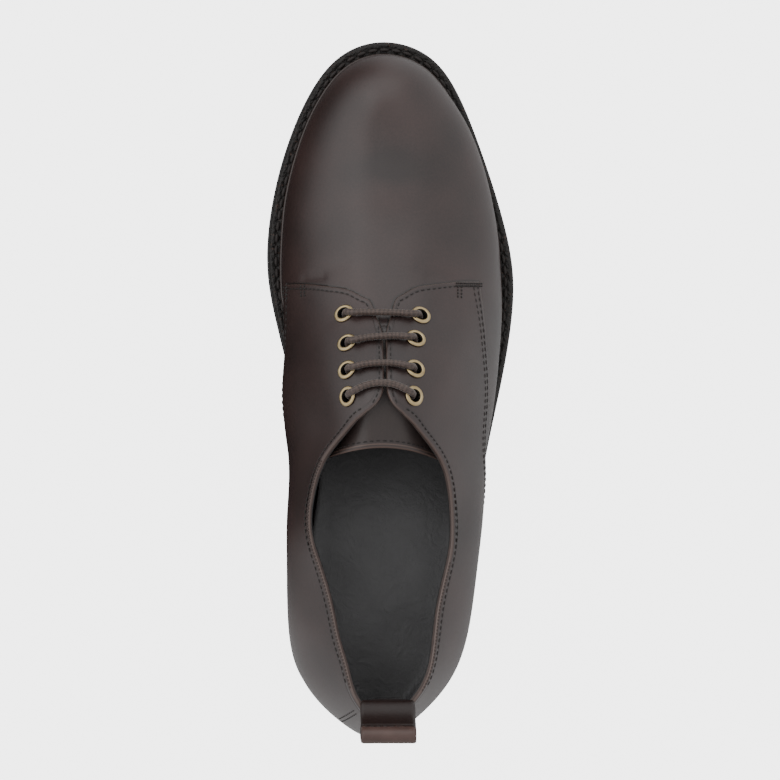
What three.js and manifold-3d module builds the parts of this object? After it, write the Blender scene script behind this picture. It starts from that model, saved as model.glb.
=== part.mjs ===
// A right-foot plain-toe derby shoe: black welted sole, one hollow leather upper with raised quarters,
// tongue, footbed, pull loop, brass eyelets and the four bars of a round lace.
// X points to the outer side of the foot, Y to the toe and Z up. All lengths are millimetres.
import * as THREE from 'three';
import { mergeVertices } from 'three/addons/utils/BufferGeometryUtils.js';
import Module from 'manifold-3d';

const wasm = await Module();
wasm.setup();

// Sole
const soleLength = 279;
const ballWidth = 99.4;
const heelHeight = 18;
const heelLength = 72;
const heelTaper = 2.5;
const heelLip = 0.4;
const heelTopInset = 0.8;
const heelLipDrop = 1.2;
const breastCurve = 4;
const outsoleThick = 8.5;
const weltThick = 3.5;
const weltSetback = 0.7;
const sideGroove = 1.1;
const sideGrooveShare = 0.18;
const treadRound = 1.2;
const treadRoundHeight = 1;
const springPower = 1.7;
const toeSpring = 8;
const waistStart = 4;
const treadFrom = 172;
const treadTo = 206;

// Upper
const instepRise = 79;
const collarRise = 66;
const wall = 1.5;
const quarterStep = 1;
const slotWidth = 0.9;
const slotFlare = 7;
const throatY = 171;
const facingTopY = 133;

// Inside and trim
const insoleRise = 2.2;
const insoleGap = 0.5;
const insoleRound = 0.6;
const tongueThick = 2;
const tongueWidth = 47;
const tongueTopY = 115;
const tongueTuck = 9;
const tongueSink = 6;
const tongueTaper = 0.68;
const tongueSweep = 5;
const tongueHold = 18;
const loopWidth = 21;
const loopThick = 1.7;
const loopHeight = 17;
const loopLean = 4;
const loopGrip = 15;
const loopTuck = 6;
const loopEye = 2.4;
// The strap bends round the heel, so its legs are narrower seen from behind
const innerWrap = 0.5;
const outerWrap = 0.86;

// Lacing
const eyeletCount = 4;
const eyeletPitch = 10.7;
const firstEyeletY = 166.9;
const eyeletReachIn = 16;
const eyeletReachOut = 12.4;
const eyeletNarrowingIn = 0.25;
const eyeletNarrowingOut = 1.25;
const eyeletOuter = 8;
const eyeletHole = 4.8;
const eyeletFlange = 0.8;
const eyeletWall = 0.5;
const laceWidth = 2.4;
const laceLift = 0.2;
const lastBarArch = 3.3;

// Room left between two pieces that are cut apart
const fit = 0.3;

const roundSteps = 72;
const climbSteps = 11;

// Rows of named values from a short table
function table(names, rows) {
  return rows.map((row) => Object.fromEntries(names.map((name, i) => [name, row[i]])));
}

// Edge of the sole: how far it reaches to each side of the centre line, as shares of the ball width
const soleEdgeRows = [
  { along: 0.000, lateral: -0.030, medial: -0.030 },
  { along: 0.028, lateral: 0.118, medial: -0.190 },
  { along: 0.095, lateral: 0.277, medial: -0.345 },
  { along: 0.190, lateral: 0.342, medial: -0.386 },
  { along: 0.287, lateral: 0.368, medial: -0.376 },
  { along: 0.400, lateral: 0.420, medial: -0.330 },
  { along: 0.500, lateral: 0.484, medial: -0.366 },
  { along: 0.589, lateral: 0.530, medial: -0.426 },
  { along: 0.660, lateral: 0.540, medial: -0.463 },
  { along: 0.747, lateral: 0.496, medial: -0.455 },
  { along: 0.838, lateral: 0.414, medial: -0.397 },
  { along: 0.928, lateral: 0.308, medial: -0.290 },
  { along: 0.973, lateral: 0.214, medial: -0.192 },
  { along: 1.000, lateral: 0.008, medial: 0.008 },
];

// Shape of the upper. ridge and rise place its top line, as shares of the ball width and the instep rise.
// reach is how far its foot stands in from the sole's edge and swell how far its flank bulges past that
// foot, as shares of the ball width. power squares (over 2) or flattens (under 2) the flank.
const upperRows = table(
  ['along', 'ridge', 'rise', 'reachOut', 'reachIn', 'swellOut', 'swellIn', 'powerOut', 'powerIn'],
  [
    [0.00, -0.004, 1.020, 0.034, 0.034, 0.024, 0.024, 2.10, 2.10],
    [0.10, 0.008, 0.930, 0.034, 0.036, 0.034, 0.037, 1.85, 1.55],
    [0.15, -0.002, 0.800, 0.033, 0.040, 0.038, 0.038, 1.92, 1.85],
    [0.20, -0.002, 0.730, 0.032, 0.050, 0.043, 0.048, 1.90, 2.08],
    [0.27, -0.008, 0.790, 0.032, 0.062, 0.053, 0.065, 1.74, 2.45],
    [0.32, -0.018, 0.880, 0.034, 0.062, 0.060, 0.083, 1.55, 3.20],
    [0.38, -0.024, 0.950, 0.040, 0.056, 0.054, 0.098, 1.52, 3.20],
    [0.43, -0.024, 0.982, 0.048, 0.052, 0.052, 0.107, 1.55, 2.40],
    [0.48, -0.018, 1.000, 0.058, 0.052, 0.047, 0.099, 1.78, 2.45],
    [0.54, -0.014, 0.915, 0.066, 0.060, 0.036, 0.070, 1.95, 2.50],
    [0.61, -0.016, 0.745, 0.072, 0.070, 0.026, 0.036, 2.02, 2.25],
    [0.68, -0.022, 0.615, 0.074, 0.078, 0.022, 0.024, 2.02, 2.12],
    [0.72, -0.025, 0.563, 0.062, 0.077, 0.022, 0.022, 2.06, 2.10],
    [0.77, -0.027, 0.510, 0.048, 0.070, 0.022, 0.020, 2.12, 2.14],
    [0.84, -0.026, 0.436, 0.038, 0.066, 0.022, 0.019, 2.18, 2.18],
    [0.89, -0.022, 0.404, 0.045, 0.064, 0.020, 0.018, 2.20, 2.20],
    [0.93, -0.018, 0.396, 0.060, 0.066, 0.018, 0.017, 2.20, 2.20],
    [1.00, -0.012, 0.390, 0.074, 0.074, 0.016, 0.016, 2.20, 2.20],
  ],
);

// Collar edge seen from the side: height above the heel seat as a share of the collar rise.
// It falls from the back of the heel, runs low under the ankle and climbs to the top of the facings.
const collarRows = [
  { along: -0.06, height: 0.900 },
  { along: 0.06, height: 0.835 },
  { along: 0.11, height: 0.785 },
  { along: 0.16, height: 0.720 },
  { along: 0.22, height: 0.650 },
  { along: 0.28, height: 0.620 },
  { along: 0.34, height: 0.650 },
  { along: 0.375, height: 0.700 },
  { along: 0.403, height: 0.775 },
  { along: 0.422, height: 0.855 },
  { along: 0.441, height: 0.940 },
  { along: 0.461, height: 1.020 },
  { along: 0.478, height: 1.110 },
];
const collarTilt = 0.043;

// Front edge of the quarters seen from the side, from the throat down to the corner and then back
// along the flank to the sole. Height is a share of the instep rise above the forefoot seat.
const quarterFrontRows = [
  { along: 0.600, height: 1.300 },
  { along: 0.612, height: 0.760 },
  { along: 0.622, height: 0.712 },
  { along: 0.632, height: 0.672 },
  { along: 0.639, height: 0.610 },
  { along: 0.644, height: 0.520 },
  { along: 0.648, height: 0.330 },
  { along: 0.620, height: 0.352 },
  { along: 0.520, height: 0.400 },
  { along: 0.430, height: 0.345 },
  { along: 0.360, height: 0.250 },
  { along: 0.300, height: 0.120 },
  { along: 0.270, height: -0.150 },
];
const quarterTilt = 0.18;

// Evaluates a natural cubic spline through the values at the knots
function splineThrough(knots, values) {
  const last = knots.length - 1;
  const carry = new Array(last + 1).fill(0);
  const curve = new Array(last + 1).fill(0);
  for (let i = 1; i < last; i += 1) {
    const before = knots[i] - knots[i - 1];
    const after = knots[i + 1] - knots[i];
    const share = before / (before + after);
    const pivot = share * carry[i - 1] + 2;
    const kink = (values[i + 1] - values[i]) / after - (values[i] - values[i - 1]) / before;
    carry[i] = (share - 1) / pivot;
    curve[i] = ((6 * kink) / (before + after) - share * curve[i - 1]) / pivot;
  }
  for (let i = last - 1; i >= 0; i -= 1) {
    curve[i] += carry[i] * curve[i + 1];
  }
  return (at) => {
    let i = 0;
    while (i < last - 1 && at > knots[i + 1]) {
      i += 1;
    }
    const span = knots[i + 1] - knots[i];
    const b = (at - knots[i]) / span;
    const a = 1 - b;
    const bend = ((a ** 3 - a) * curve[i] + (b ** 3 - b) * curve[i + 1]) * span * span / 6;
    return a * values[i] + b * values[i + 1] + bend;
  };
}

function column(rows, name) {
  return splineThrough(rows.map((row) => row.along), rows.map((row) => row[name]));
}

// The angle runs once round the shoe: 0 at the back of the heel, half a turn at the toe, outer side first
const fullTurn = 2 * Math.PI;
const alongOf = (angle) => (1 - Math.cos(angle)) / 2;
const angleOf = (along) => Math.acos(1 - 2 * along);

function closedSide(rows) {
  const outer = rows.map((row) => [angleOf(row.along), row.lateral]);
  const inner = rows.slice(1, -1).reverse().map((row) => [fullTurn - angleOf(row.along), row.medial]);
  const once = [...outer, ...inner];
  const wrapped = [-1, 0, 1].flatMap((turn) => once.map(([angle, side]) => [angle + turn * fullTurn, side]));
  return splineThrough(wrapped.map((pair) => pair[0]), wrapped.map((pair) => pair[1]));
}

const soleSide = closedSide(soleEdgeRows);

function soleEdge(angle) {
  return new THREE.Vector2(soleSide(angle) * ballWidth, alongOf(angle) * soleLength);
}

function outwardAt(angle) {
  const nudge = 0.01;
  const travel = soleEdge(angle + nudge).sub(soleEdge(angle - nudge)).normalize();
  return new THREE.Vector2(travel.y, -travel.x);
}

function insetEdge(angle, inset) {
  return soleEdge(angle).addScaledVector(outwardAt(angle), -inset);
}

// Underside of the outsole: level under the heel seat, down through the waist, flat tread, toe spring
function treadHeight(y) {
  const waist = THREE.MathUtils.smoothstep(y, heelLength + waistStart, treadFrom);
  const spring = Math.max(0, (y - treadTo) / (soleLength - treadTo)) ** springPower;
  return heelHeight * (1 - waist) + toeSpring * spring;
}

const outsoleTop = (y) => treadHeight(y) + outsoleThick;
const seatHeight = (y) => outsoleTop(y) + fit + weltThick;
const heelSeat = heelHeight + outsoleThick + weltThick + fit;
const foreSeat = outsoleThick + weltThick + fit;

const upperColumn = {};
for (const name of Object.keys(upperRows[0])) {
  upperColumn[name] = column(upperRows, name);
}

// The top line's place for a point of the foot line: it stays clear of the heel and toe ends
const ridgeStart = 22;
const ridgeEnd = 250;
const ridgeBlend = 20;

function ridgeY(y) {
  const fromHeel = (y + ridgeStart + Math.hypot(y - ridgeStart, ridgeBlend)) / 2;
  return (fromHeel + ridgeEnd - Math.hypot(fromHeel - ridgeEnd, ridgeBlend)) / 2;
}

// Brings the top of u (1 - u)^3 to one
const bulgeScale = 256 / 27;

// A point of the vamp's outer face. climb goes from 0 at the sole to 1 at the top line.
function facePoint(angle, climb) {
  const along = alongOf(angle);
  const side = Math.sin(angle) >= 0 ? 'Out' : 'In';
  const reach = upperColumn[`reach${side}`](along) * ballWidth;
  const swell = upperColumn[`swell${side}`](along) * ballWidth;
  const power = upperColumn[`power${side}`](along);
  const foot = insetEdge(angle, reach);
  const topY = ridgeY(along * soleLength);
  const topX = upperColumn.ridge(topY / soleLength) * ballWidth;
  const topZ = seatHeight(topY) + upperColumn.rise(topY / soleLength) * instepRise;
  const turn = climb * Math.PI / 2;
  const inward = 1 - Math.cos(turn) ** (2 / power);
  const upward = Math.sin(turn) ** (2 / power);
  const bulge = swell * bulgeScale * upward * (1 - upward) ** 3;
  const point = foot.clone().lerp(new THREE.Vector2(topX, topY), inward);
  point.addScaledVector(outwardAt(angle), bulge);
  const footZ = seatHeight(foot.y) + fit;
  return new THREE.Vector3(point.x, point.y, THREE.MathUtils.lerp(footZ, topZ, upward));
}

// Outward direction of the face, taken from its neighbours
function faceNormal(angle, climb) {
  const nudge = 0.02;
  const high = Math.min(climb, 1 - 2 * nudge);
  const round = facePoint(angle + nudge, high).sub(facePoint(angle - nudge, high));
  const rise = facePoint(angle, high + nudge).sub(facePoint(angle, Math.max(0, high - nudge)));
  return round.cross(rise).normalize();
}

function offsetPoint(angle, climb, offset) {
  const normal = faceNormal(angle, climb);
  if (climb >= 1) {
    normal.add(faceNormal(fullTurn - angle, climb)).normalize();
  }
  if (climb <= 0) {
    normal.setZ(0).normalize();
  }
  return facePoint(angle, climb).addScaledVector(normal, offset);
}

// Finds the angle and climb at which miss gives two zeros
function findFace(angle, climb, miss) {
  const nudge = 0.001;
  const found = { angle, climb };
  for (let turn = 0; turn < 14; turn += 1) {
    const here = miss(found.angle, found.climb);
    const byAngle = miss(found.angle + nudge, found.climb);
    const byClimb = miss(found.angle, found.climb - nudge);
    const a = (byAngle[0] - here[0]) / nudge;
    const b = (here[0] - byClimb[0]) / nudge;
    const c = (byAngle[1] - here[1]) / nudge;
    const d = (here[1] - byClimb[1]) / nudge;
    const spread = a * d - b * c;
    found.angle -= THREE.MathUtils.clamp((d * here[0] - b * here[1]) / spread, -0.1, 0.1);
    found.climb -= THREE.MathUtils.clamp((a * here[1] - c * here[0]) / spread, -0.1, 0.1);
    found.climb = THREE.MathUtils.clamp(found.climb, 0.02, 0.999);
  }
  return found;
}

// The face over a place in plan, above the flanks
function surfaceOver(x, y, offset) {
  const onInner = x < upperColumn.ridge(y / soleLength) * ballWidth;
  const start = angleOf(y / soleLength);
  const { angle, climb } = findFace(onInner ? fullTurn - start : start, 0.7, (a, c) => {
    const p = facePoint(a, c);
    return [p.x - x, p.y - y];
  });
  const normal = faceNormal(angle, climb);
  return { point: facePoint(angle, climb).addScaledVector(normal, offset), normal };
}

// A layer over the back of the heel, at a place seen from behind
function heelBack(x, z, offset) {
  const layer = (a, c) => facePoint(a, c).addScaledVector(faceNormal(a, c), offset);
  const start = (x - soleEdge(0).x) / (soleEdge(0.5).x - soleEdge(0).x) / 2;
  const { angle, climb } = findFace(start, 0.6, (a, c) => {
    const p = layer(a, c);
    return [p.x - x, p.z - z];
  });
  return layer(angle, climb);
}

// Builds a geometry from points and triangles
function geometryFrom(points, triangles) {
  const geometry = new THREE.BufferGeometry();
  geometry.setAttribute('position', new THREE.Float32BufferAttribute(points.flatMap((p) => [p.x, p.y, p.z]), 3));
  geometry.setIndex(triangles);
  geometry.computeVertexNormals();
  return geometry;
}

// Closed body from rings laid one over the other, each closed across by a ladder of faces
function stackRings(rings, capped) {
  const count = rings[0].length;
  const triangles = [];
  const layers = capped ? rings.length - 1 : rings.length;
  for (let layer = 0; layer < layers; layer += 1) {
    const low = layer * count;
    const high = ((layer + 1) % rings.length) * count;
    for (let i = 0; i < count; i += 1) {
      const next = (i + 1) % count;
      triangles.push(low + i, low + next, high + next, low + i, high + next, high + i);
    }
  }
  if (capped) {
    triangles.push(...ladder(0, count, true), ...ladder((rings.length - 1) * count, count, false));
  }
  return geometryFrom(rings.flat(), triangles);
}

function ladder(start, count, faceDown) {
  const faces = [];
  for (let i = 0; i < count / 2; i += 1) {
    const right = start + i;
    const rightNext = start + i + 1;
    const left = start + ((count - i) % count);
    const leftNext = start + count - i - 1;
    if (left !== right) {
      faces.push([right, rightNext, left]);
    }
    if (rightNext !== leftNext) {
      faces.push([rightNext, leftNext, left]);
    }
  }
  return faces.flatMap((face) => (faceDown ? [face[0], face[2], face[1]] : face));
}

// Ring of the sole's outline, set in by a distance and laid at a height that may follow the length
function outlineRing(inset, heightAt) {
  return Array.from({ length: roundSteps }, (_, i) => {
    const angle = (i / roundSteps) * fullTurn;
    const edge = insetEdge(angle, typeof inset === 'function' ? inset(angle) : inset);
    return new THREE.Vector3(edge.x, edge.y, heightAt(edge.y));
  });
}

// A domed body whose skin lies at an offset from the upper's face, carried down below its foot line
function domeBody(offset, skirt) {
  const points = [];
  const half = roundSteps / 2;
  for (let level = 0; level < climbSteps; level += 1) {
    for (let i = 0; i < roundSteps; i += 1) {
      points.push(offsetPoint((i / roundSteps) * fullTurn, level / climbSteps, offset));
    }
  }
  const ridge = points.length;
  for (let i = 0; i <= half; i += 1) {
    points.push(offsetPoint((i / roundSteps) * fullTurn, 1, offset));
  }
  const base = skirt > 0 ? points.length : 0;
  if (skirt > 0) {
    for (let i = 0; i < roundSteps; i += 1) {
      points.push(points[i].clone().setZ(points[i].z - skirt));
    }
  }
  const triangles = [];
  const quad = (a, b, c, d) => triangles.push(a, b, c, a, c, d);
  for (let i = 0; i < roundSteps; i += 1) {
    const next = (i + 1) % roundSteps;
    for (let level = 0; level < climbSteps - 1; level += 1) {
      const low = level * roundSteps;
      quad(low + i, low + next, low + roundSteps + next, low + roundSteps + i);
    }
    const top = (climbSteps - 1) * roundSteps;
    quad(top + i, top + next, ridge + Math.min(next, roundSteps - next), ridge + Math.min(i, roundSteps - i));
    if (skirt > 0) {
      quad(base + i, base + next, next, i);
    }
  }
  triangles.push(...ladder(base, roundSteps, true));
  return geometryFrom(points, triangles);
}

function manifoldOf(geometry) {
  const bare = geometry.clone();
  bare.deleteAttribute('normal');
  bare.deleteAttribute('uv');
  const merged = mergeVertices(bare, 0.0001);
  const vertProperties = new Float32Array(merged.attributes.position.array);
  const triVerts = new Uint32Array(merged.index.array);
  return new wasm.Manifold(new wasm.Mesh({ numProp: 3, vertProperties, triVerts }));
}

function geometryOf(manifold) {
  const mesh = manifold.getMesh();
  const geometry = new THREE.BufferGeometry();
  geometry.setAttribute('position', new THREE.Float32BufferAttribute(mesh.vertProperties, 3));
  geometry.setIndex(Array.from(mesh.triVerts));
  geometry.computeVertexNormals();
  return geometry;
}

// Prism with an outline drawn from the side, in Y and Z, reaching right through the shoe along X
function sidePrism(outline) {
  const shape = new THREE.Shape(outline);
  const reach = ballWidth * 1.6;
  const geometry = new THREE.ExtrudeGeometry(shape, { depth: reach, bevelEnabled: false, curveSegments: 1 });
  geometry.applyMatrix4(new THREE.Matrix4().makeBasis(
    new THREE.Vector3(0, 1, 0),
    new THREE.Vector3(0, 0, 1),
    new THREE.Vector3(1, 0, 0),
  ));
  geometry.translate(-reach / 2, 0, 0);
  return geometry;
}

// Prism with an outline drawn in plan, reaching up through the shoe
function planPrism(outline, depth, lift) {
  const shape = new THREE.Shape(outline);
  const geometry = new THREE.ExtrudeGeometry(shape, { depth, bevelEnabled: false, curveSegments: 1 });
  geometry.translate(0, 0, lift);
  return geometry;
}

const point2 = (x, y) => new THREE.Vector2(x, y);
const clearTop = 400;

// All that lies above the collar edge
function collarCut() {
  const height = column(collarRows, 'height');
  const first = collarRows[0].along;
  const last = collarRows[collarRows.length - 1].along;
  const steps = 36;
  const outline = [];
  for (let i = 0; i <= steps; i += 1) {
    const along = THREE.MathUtils.lerp(first, last, i / steps);
    outline.push(point2(along * soleLength, heelSeat + height(along) * collarRise));
  }
  outline.push(point2(last * soleLength, clearTop), point2(first * soleLength, clearTop));
  const geometry = sidePrism(outline);
  const lean = new THREE.Matrix4().makeShear(0, -collarTilt, 0, 0, 0, 0);
  geometry.applyMatrix4(lean);
  return geometry;
}

function quarterRegion() {
  const outline = quarterFrontRows.map((row) => (
    point2(row.along * soleLength, foreSeat + row.height * instepRise)
  ));
  outline.push(point2(-soleLength, -clearTop), point2(-soleLength, clearTop));
  outline.push(point2(quarterFrontRows[0].along * soleLength, clearTop));
  const geometry = sidePrism(outline);
  geometry.applyMatrix4(new THREE.Matrix4().makeShear(0, quarterTilt, 0, 0, 0, 0));
  return geometry;
}

const slotX = (y) => upperColumn.ridge(y / soleLength) * ballWidth;

// The narrow gap between the facings, through the whole wall
function slotCut() {
  const half = slotWidth / 2;
  const from = facingTopY - 14;
  const to = throatY - 9;
  const outline = [point2(slotX(from) - half, from), point2(slotX(from) + half, from)];
  outline.push(point2(slotX(to) + half, to), point2(slotX(to) - half, to));
  return planPrism(outline, clearTop, foreSeat + instepRise * 0.45);
}

// The facings part towards the throat, in the raised quarters alone
function throatCut() {
  const half = slotWidth / 2;
  const middle = slotX(throatY);
  const outline = [
    point2(middle - half, throatY - 9.5),
    point2(middle + half, throatY - 9.5),
    point2(middle + slotFlare / 2, throatY - 4),
    point2(middle + slotFlare * 0.9, throatY + 2),
    point2(middle + slotFlare * 0.9, throatY + 14),
    point2(middle - slotFlare * 0.9, throatY + 14),
    point2(middle - slotFlare * 0.9, throatY + 2),
    point2(middle - slotFlare / 2, throatY - 4),
  ];
  return planPrism(outline, clearTop, foreSeat + instepRise * 0.45);
}

const eyeletX = (side, row) => (
  side > 0 ? eyeletReachOut - row * eyeletNarrowingOut : row * eyeletNarrowingIn - eyeletReachIn
);
const eyeletY = (row) => firstEyeletY - row * eyeletPitch;

// Turns a piece made about the Z axis so that it stands on the face at a place in plan
function standOnFace(geometry, x, y, offset) {
  const { point, normal } = surfaceOver(x, y, offset);
  const turn = new THREE.Quaternion().setFromUnitVectors(new THREE.Vector3(0, 0, 1), normal);
  geometry.applyQuaternion(turn);
  geometry.translate(point.x, point.y, point.z);
  return geometry;
}

function eyeletBore(x, y) {
  const radius = eyeletHole / 2 + eyeletWall + fit;
  const length = 20;
  const sides = 16;
  const bore = new THREE.CylinderGeometry(radius, radius, length, sides);
  bore.rotateX(Math.PI / 2);
  return standOnFace(bore, x, y, 0);
}

function makeUpper() {
  let quarters = manifoldOf(domeBody(quarterStep, 0)).intersect(manifoldOf(quarterRegion()));
  quarters = quarters.subtract(manifoldOf(throatCut()));
  let upper = manifoldOf(domeBody(0, 0)).add(quarters);
  upper = upper.subtract(manifoldOf(domeBody(-wall, 10)));
  upper = upper.subtract(manifoldOf(collarCut()));
  upper = upper.subtract(manifoldOf(slotCut()));
  for (const side of [-1, 1]) {
    for (let row = 0; row < eyeletCount; row += 1) {
      upper = upper.subtract(manifoldOf(eyeletBore(eyeletX(side, row), eyeletY(row))));
    }
  }
  return geometryOf(upper);
}

function makeOutsole() {
  const groove = outsoleThick * sideGrooveShare;
  return stackRings([
    outlineRing(treadRound, treadHeight),
    outlineRing(0, (y) => treadHeight(y) + treadRoundHeight),
    outlineRing(0, (y) => outsoleTop(y) - groove),
    outlineRing(sideGroove, outsoleTop),
  ], true);
}

function makeHeel() {
  const ring = (inset, height) => {
    const half = 22;
    const breastAngle = angleOf(heelLength / soleLength);
    const edge = [];
    for (let i = -half; i <= half; i += 1) {
      const place = insetEdge((i / half) * breastAngle, inset);
      edge.push(new THREE.Vector3(place.x, Math.min(place.y, heelLength - inset), height));
    }
    const bow = 8;
    const right = edge[edge.length - 1];
    const left = edge[0];
    for (let i = 1; i < bow; i += 1) {
      const share = i / bow;
      const x = THREE.MathUtils.lerp(right.x, left.x, share);
      const y = THREE.MathUtils.lerp(right.y, left.y, share) - breastCurve * 4 * share * (1 - share);
      edge.push(new THREE.Vector3(x, y, height));
    }
    return edge;
  };
  const rings = [ring(heelTaper, 0), ring(heelLip, heelHeight - heelLipDrop), ring(heelTopInset, heelHeight - fit)];
  const count = rings[0].length;
  const points = rings.flat();
  const triangles = [];
  for (let layer = 0; layer < rings.length - 1; layer += 1) {
    for (let i = 0; i < count; i += 1) {
      const next = (i + 1) % count;
      const low = layer * count;
      triangles.push(low + i, low + next, low + count + next, low + i, low + count + next, low + count + i);
    }
  }
  const faces = THREE.ShapeUtils.triangulateShape(rings[0].map((p) => point2(p.x, p.y)), []);
  const top = (rings.length - 1) * count;
  for (const [a, b, c] of faces) {
    triangles.push(a, c, b, top + a, top + b, top + c);
  }
  return geometryFrom(points, triangles);
}

const footReach = (angle) => {
  const name = Math.sin(angle) >= 0 ? 'reachOut' : 'reachIn';
  return upperColumn[name](alongOf(angle)) * ballWidth;
};

function makeWelt() {
  const innerInset = (angle) => footReach(angle) + wall + fit;
  return stackRings([
    outlineRing(weltSetback, (y) => outsoleTop(y) + fit),
    outlineRing(weltSetback, (y) => outsoleTop(y) + fit + weltThick),
    outlineRing(innerInset, (y) => outsoleTop(y) + fit + weltThick),
    outlineRing(innerInset, (y) => outsoleTop(y) + fit),
  ], false);
}

function makeInsole() {
  const inset = (angle) => footReach(angle) + wall + 2 * fit + insoleGap;
  return stackRings([
    outlineRing(inset, (y) => outsoleTop(y) + fit),
    outlineRing(inset, (y) => seatHeight(y) + insoleRise - insoleRound),
    outlineRing((angle) => inset(angle) + insoleRound, (y) => seatHeight(y) + insoleRise),
  ], true);
}

// Closed body between two grids of points, the first on the outside
function sheetBody(outer, inner, width) {
  const count = outer.length;
  const length = count / width;
  const triangles = [];
  const quad = (a, b, c, d) => triangles.push(a, b, c, a, c, d);
  for (let j = 0; j < length - 1; j += 1) {
    for (let i = 0; i < width - 1; i += 1) {
      const a = j * width + i;
      quad(a, a + width, a + width + 1, a + 1);
      quad(count + a, count + a + 1, count + a + width + 1, count + a + width);
    }
    const left = j * width;
    const right = left + width - 1;
    quad(left + width, left, count + left, count + left + width);
    quad(right, right + width, count + right + width, count + right);
  }
  for (let i = 0; i < width - 1; i += 1) {
    const low = count - width + i;
    quad(i, i + 1, count + i + 1, count + i);
    quad(low + 1, low, count + low, count + low + 1);
  }
  return geometryFrom([...outer, ...inner], triangles);
}

// A sheet under the facings that sinks away from them towards its free top edge
function makeTongue() {
  const across = 14;
  const down = 12;
  const grid = (layer) => {
    const points = [];
    for (let j = 0; j <= down; j += 1) {
      const share = j / down;
      const y = THREE.MathUtils.lerp(throatY + tongueTuck, tongueTopY, share);
      const free = THREE.MathUtils.smoothstep(-y, -facingTopY - tongueHold, -tongueTopY);
      const half = (THREE.MathUtils.lerp(tongueTaper, 1, share) * tongueWidth) / 2;
      for (let i = 0; i <= across; i += 1) {
        const side = (i / across) * 2 - 1;
        const { point, normal } = surfaceOver(slotX(y) + half * side, y - tongueSweep * side * side * free, 0);
        const drop = (wall + 2 * fit + layer * tongueThick) / normal.z + tongueSink * free;
        points.push(point.setZ(point.z - drop));
      }
    }
    return points;
  };
  return sheetBody(grid(0), grid(1), across + 1);
}

const collarBackZ = heelSeat + column(collarRows, 'height')(0.045) * collarRise;

// A strap folded over the back of the collar, its two legs wrapped round the heel's curve
function makePullLoop() {
  const columns = 7;
  const steps = 24;
  const middleX = upperColumn.ridge(0) * ballWidth;
  const outside = quarterStep + 1.5 * fit + loopThick / 2;
  const inside = wall + fit + loopThick / 2;
  const half = (loopEye + loopThick) / 2;
  const midRise = 0.45;
  const bendRise = 0.88;
  const aboveRim = 0.17;
  const middleY = heelBack(middleX, collarBackZ, (quarterStep - wall) / 2).y;
  const foldY = middleY - loopLean;
  const innerX = (share) => middleX + share * loopWidth * innerWrap;
  // The inner leg is a flat strip that clears the inside of the heel at both its edges
  const frontY = Math.max(...[-0.5, 0.5].flatMap((share) => [-1, 0].map((up) => (
    heelBack(innerX(share), collarBackZ + loopTuck * up, -inside).y
  ))));
  const lines = Array.from({ length: columns }, (_, i) => {
    const share = i / (columns - 1) - 0.5;
    const inner = [-1, -0.5, aboveRim].map((up) => (
      new THREE.Vector3(innerX(share), frontY, collarBackZ + loopTuck * up)
    ));
    const outer = [aboveRim, 0, -0.5, -1].map((up) => (
      heelBack(middleX + share * loopWidth * outerWrap, collarBackZ + loopGrip * up, outside)
    ));
    // A point of the free part: its height, its side of the fold and where its leg stands
    const free = (rise, side, legY) => new THREE.Vector3(
      middleX + share * loopWidth,
      foldY + side * half + (legY - foldY - side * half) * (1 - rise / bendRise),
      collarBackZ + loopHeight * rise,
    );
    const top = [
      free(midRise, 1, frontY), free(bendRise, 1, frontY),
      new THREE.Vector3(middleX + share * loopWidth, foldY, collarBackZ + loopHeight),
      free(bendRise, -1, outer[0].y), free(midRise, -1, outer[0].y),
    ];
    return new THREE.CatmullRomCurve3([...inner, ...top, ...outer], false, 'centripetal').getSpacedPoints(steps);
  });
  const layers = [[], []];
  for (let j = 0; j <= steps; j += 1) {
    for (let i = 0; i < columns; i += 1) {
      const travel = lines[i][Math.min(steps, j + 1)].clone().sub(lines[i][Math.max(0, j - 1)]);
      const side = lines[Math.min(columns - 1, i + 1)][j].clone().sub(lines[Math.max(0, i - 1)][j]);
      const across = travel.cross(side).normalize().multiplyScalar(loopThick / 2);
      layers[0].push(lines[i][j].clone().add(across));
      layers[1].push(lines[i][j].clone().sub(across));
    }
  }
  return sheetBody(layers[0], layers[1], columns);
}

function makeEyelet(x, y) {
  const hole = eyeletHole / 2;
  const barrel = hole + eyeletWall;
  const rim = eyeletOuter / 2;
  const seat = fit;
  const profile = [
    point2(hole, -wall - quarterStep),
    point2(barrel, -wall - quarterStep),
    point2(barrel, seat),
    point2(rim, seat),
    point2(rim - 0.3, seat + eyeletFlange * 0.6),
    point2((rim + hole) / 2, seat + eyeletFlange),
    point2(hole, seat + eyeletFlange * 0.5),
    point2(hole, -wall - quarterStep),
  ];
  const ring = new THREE.LatheGeometry(profile, 12);
  ring.rotateX(Math.PI / 2);
  return standOnFace(ring, x, y, quarterStep);
}

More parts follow.
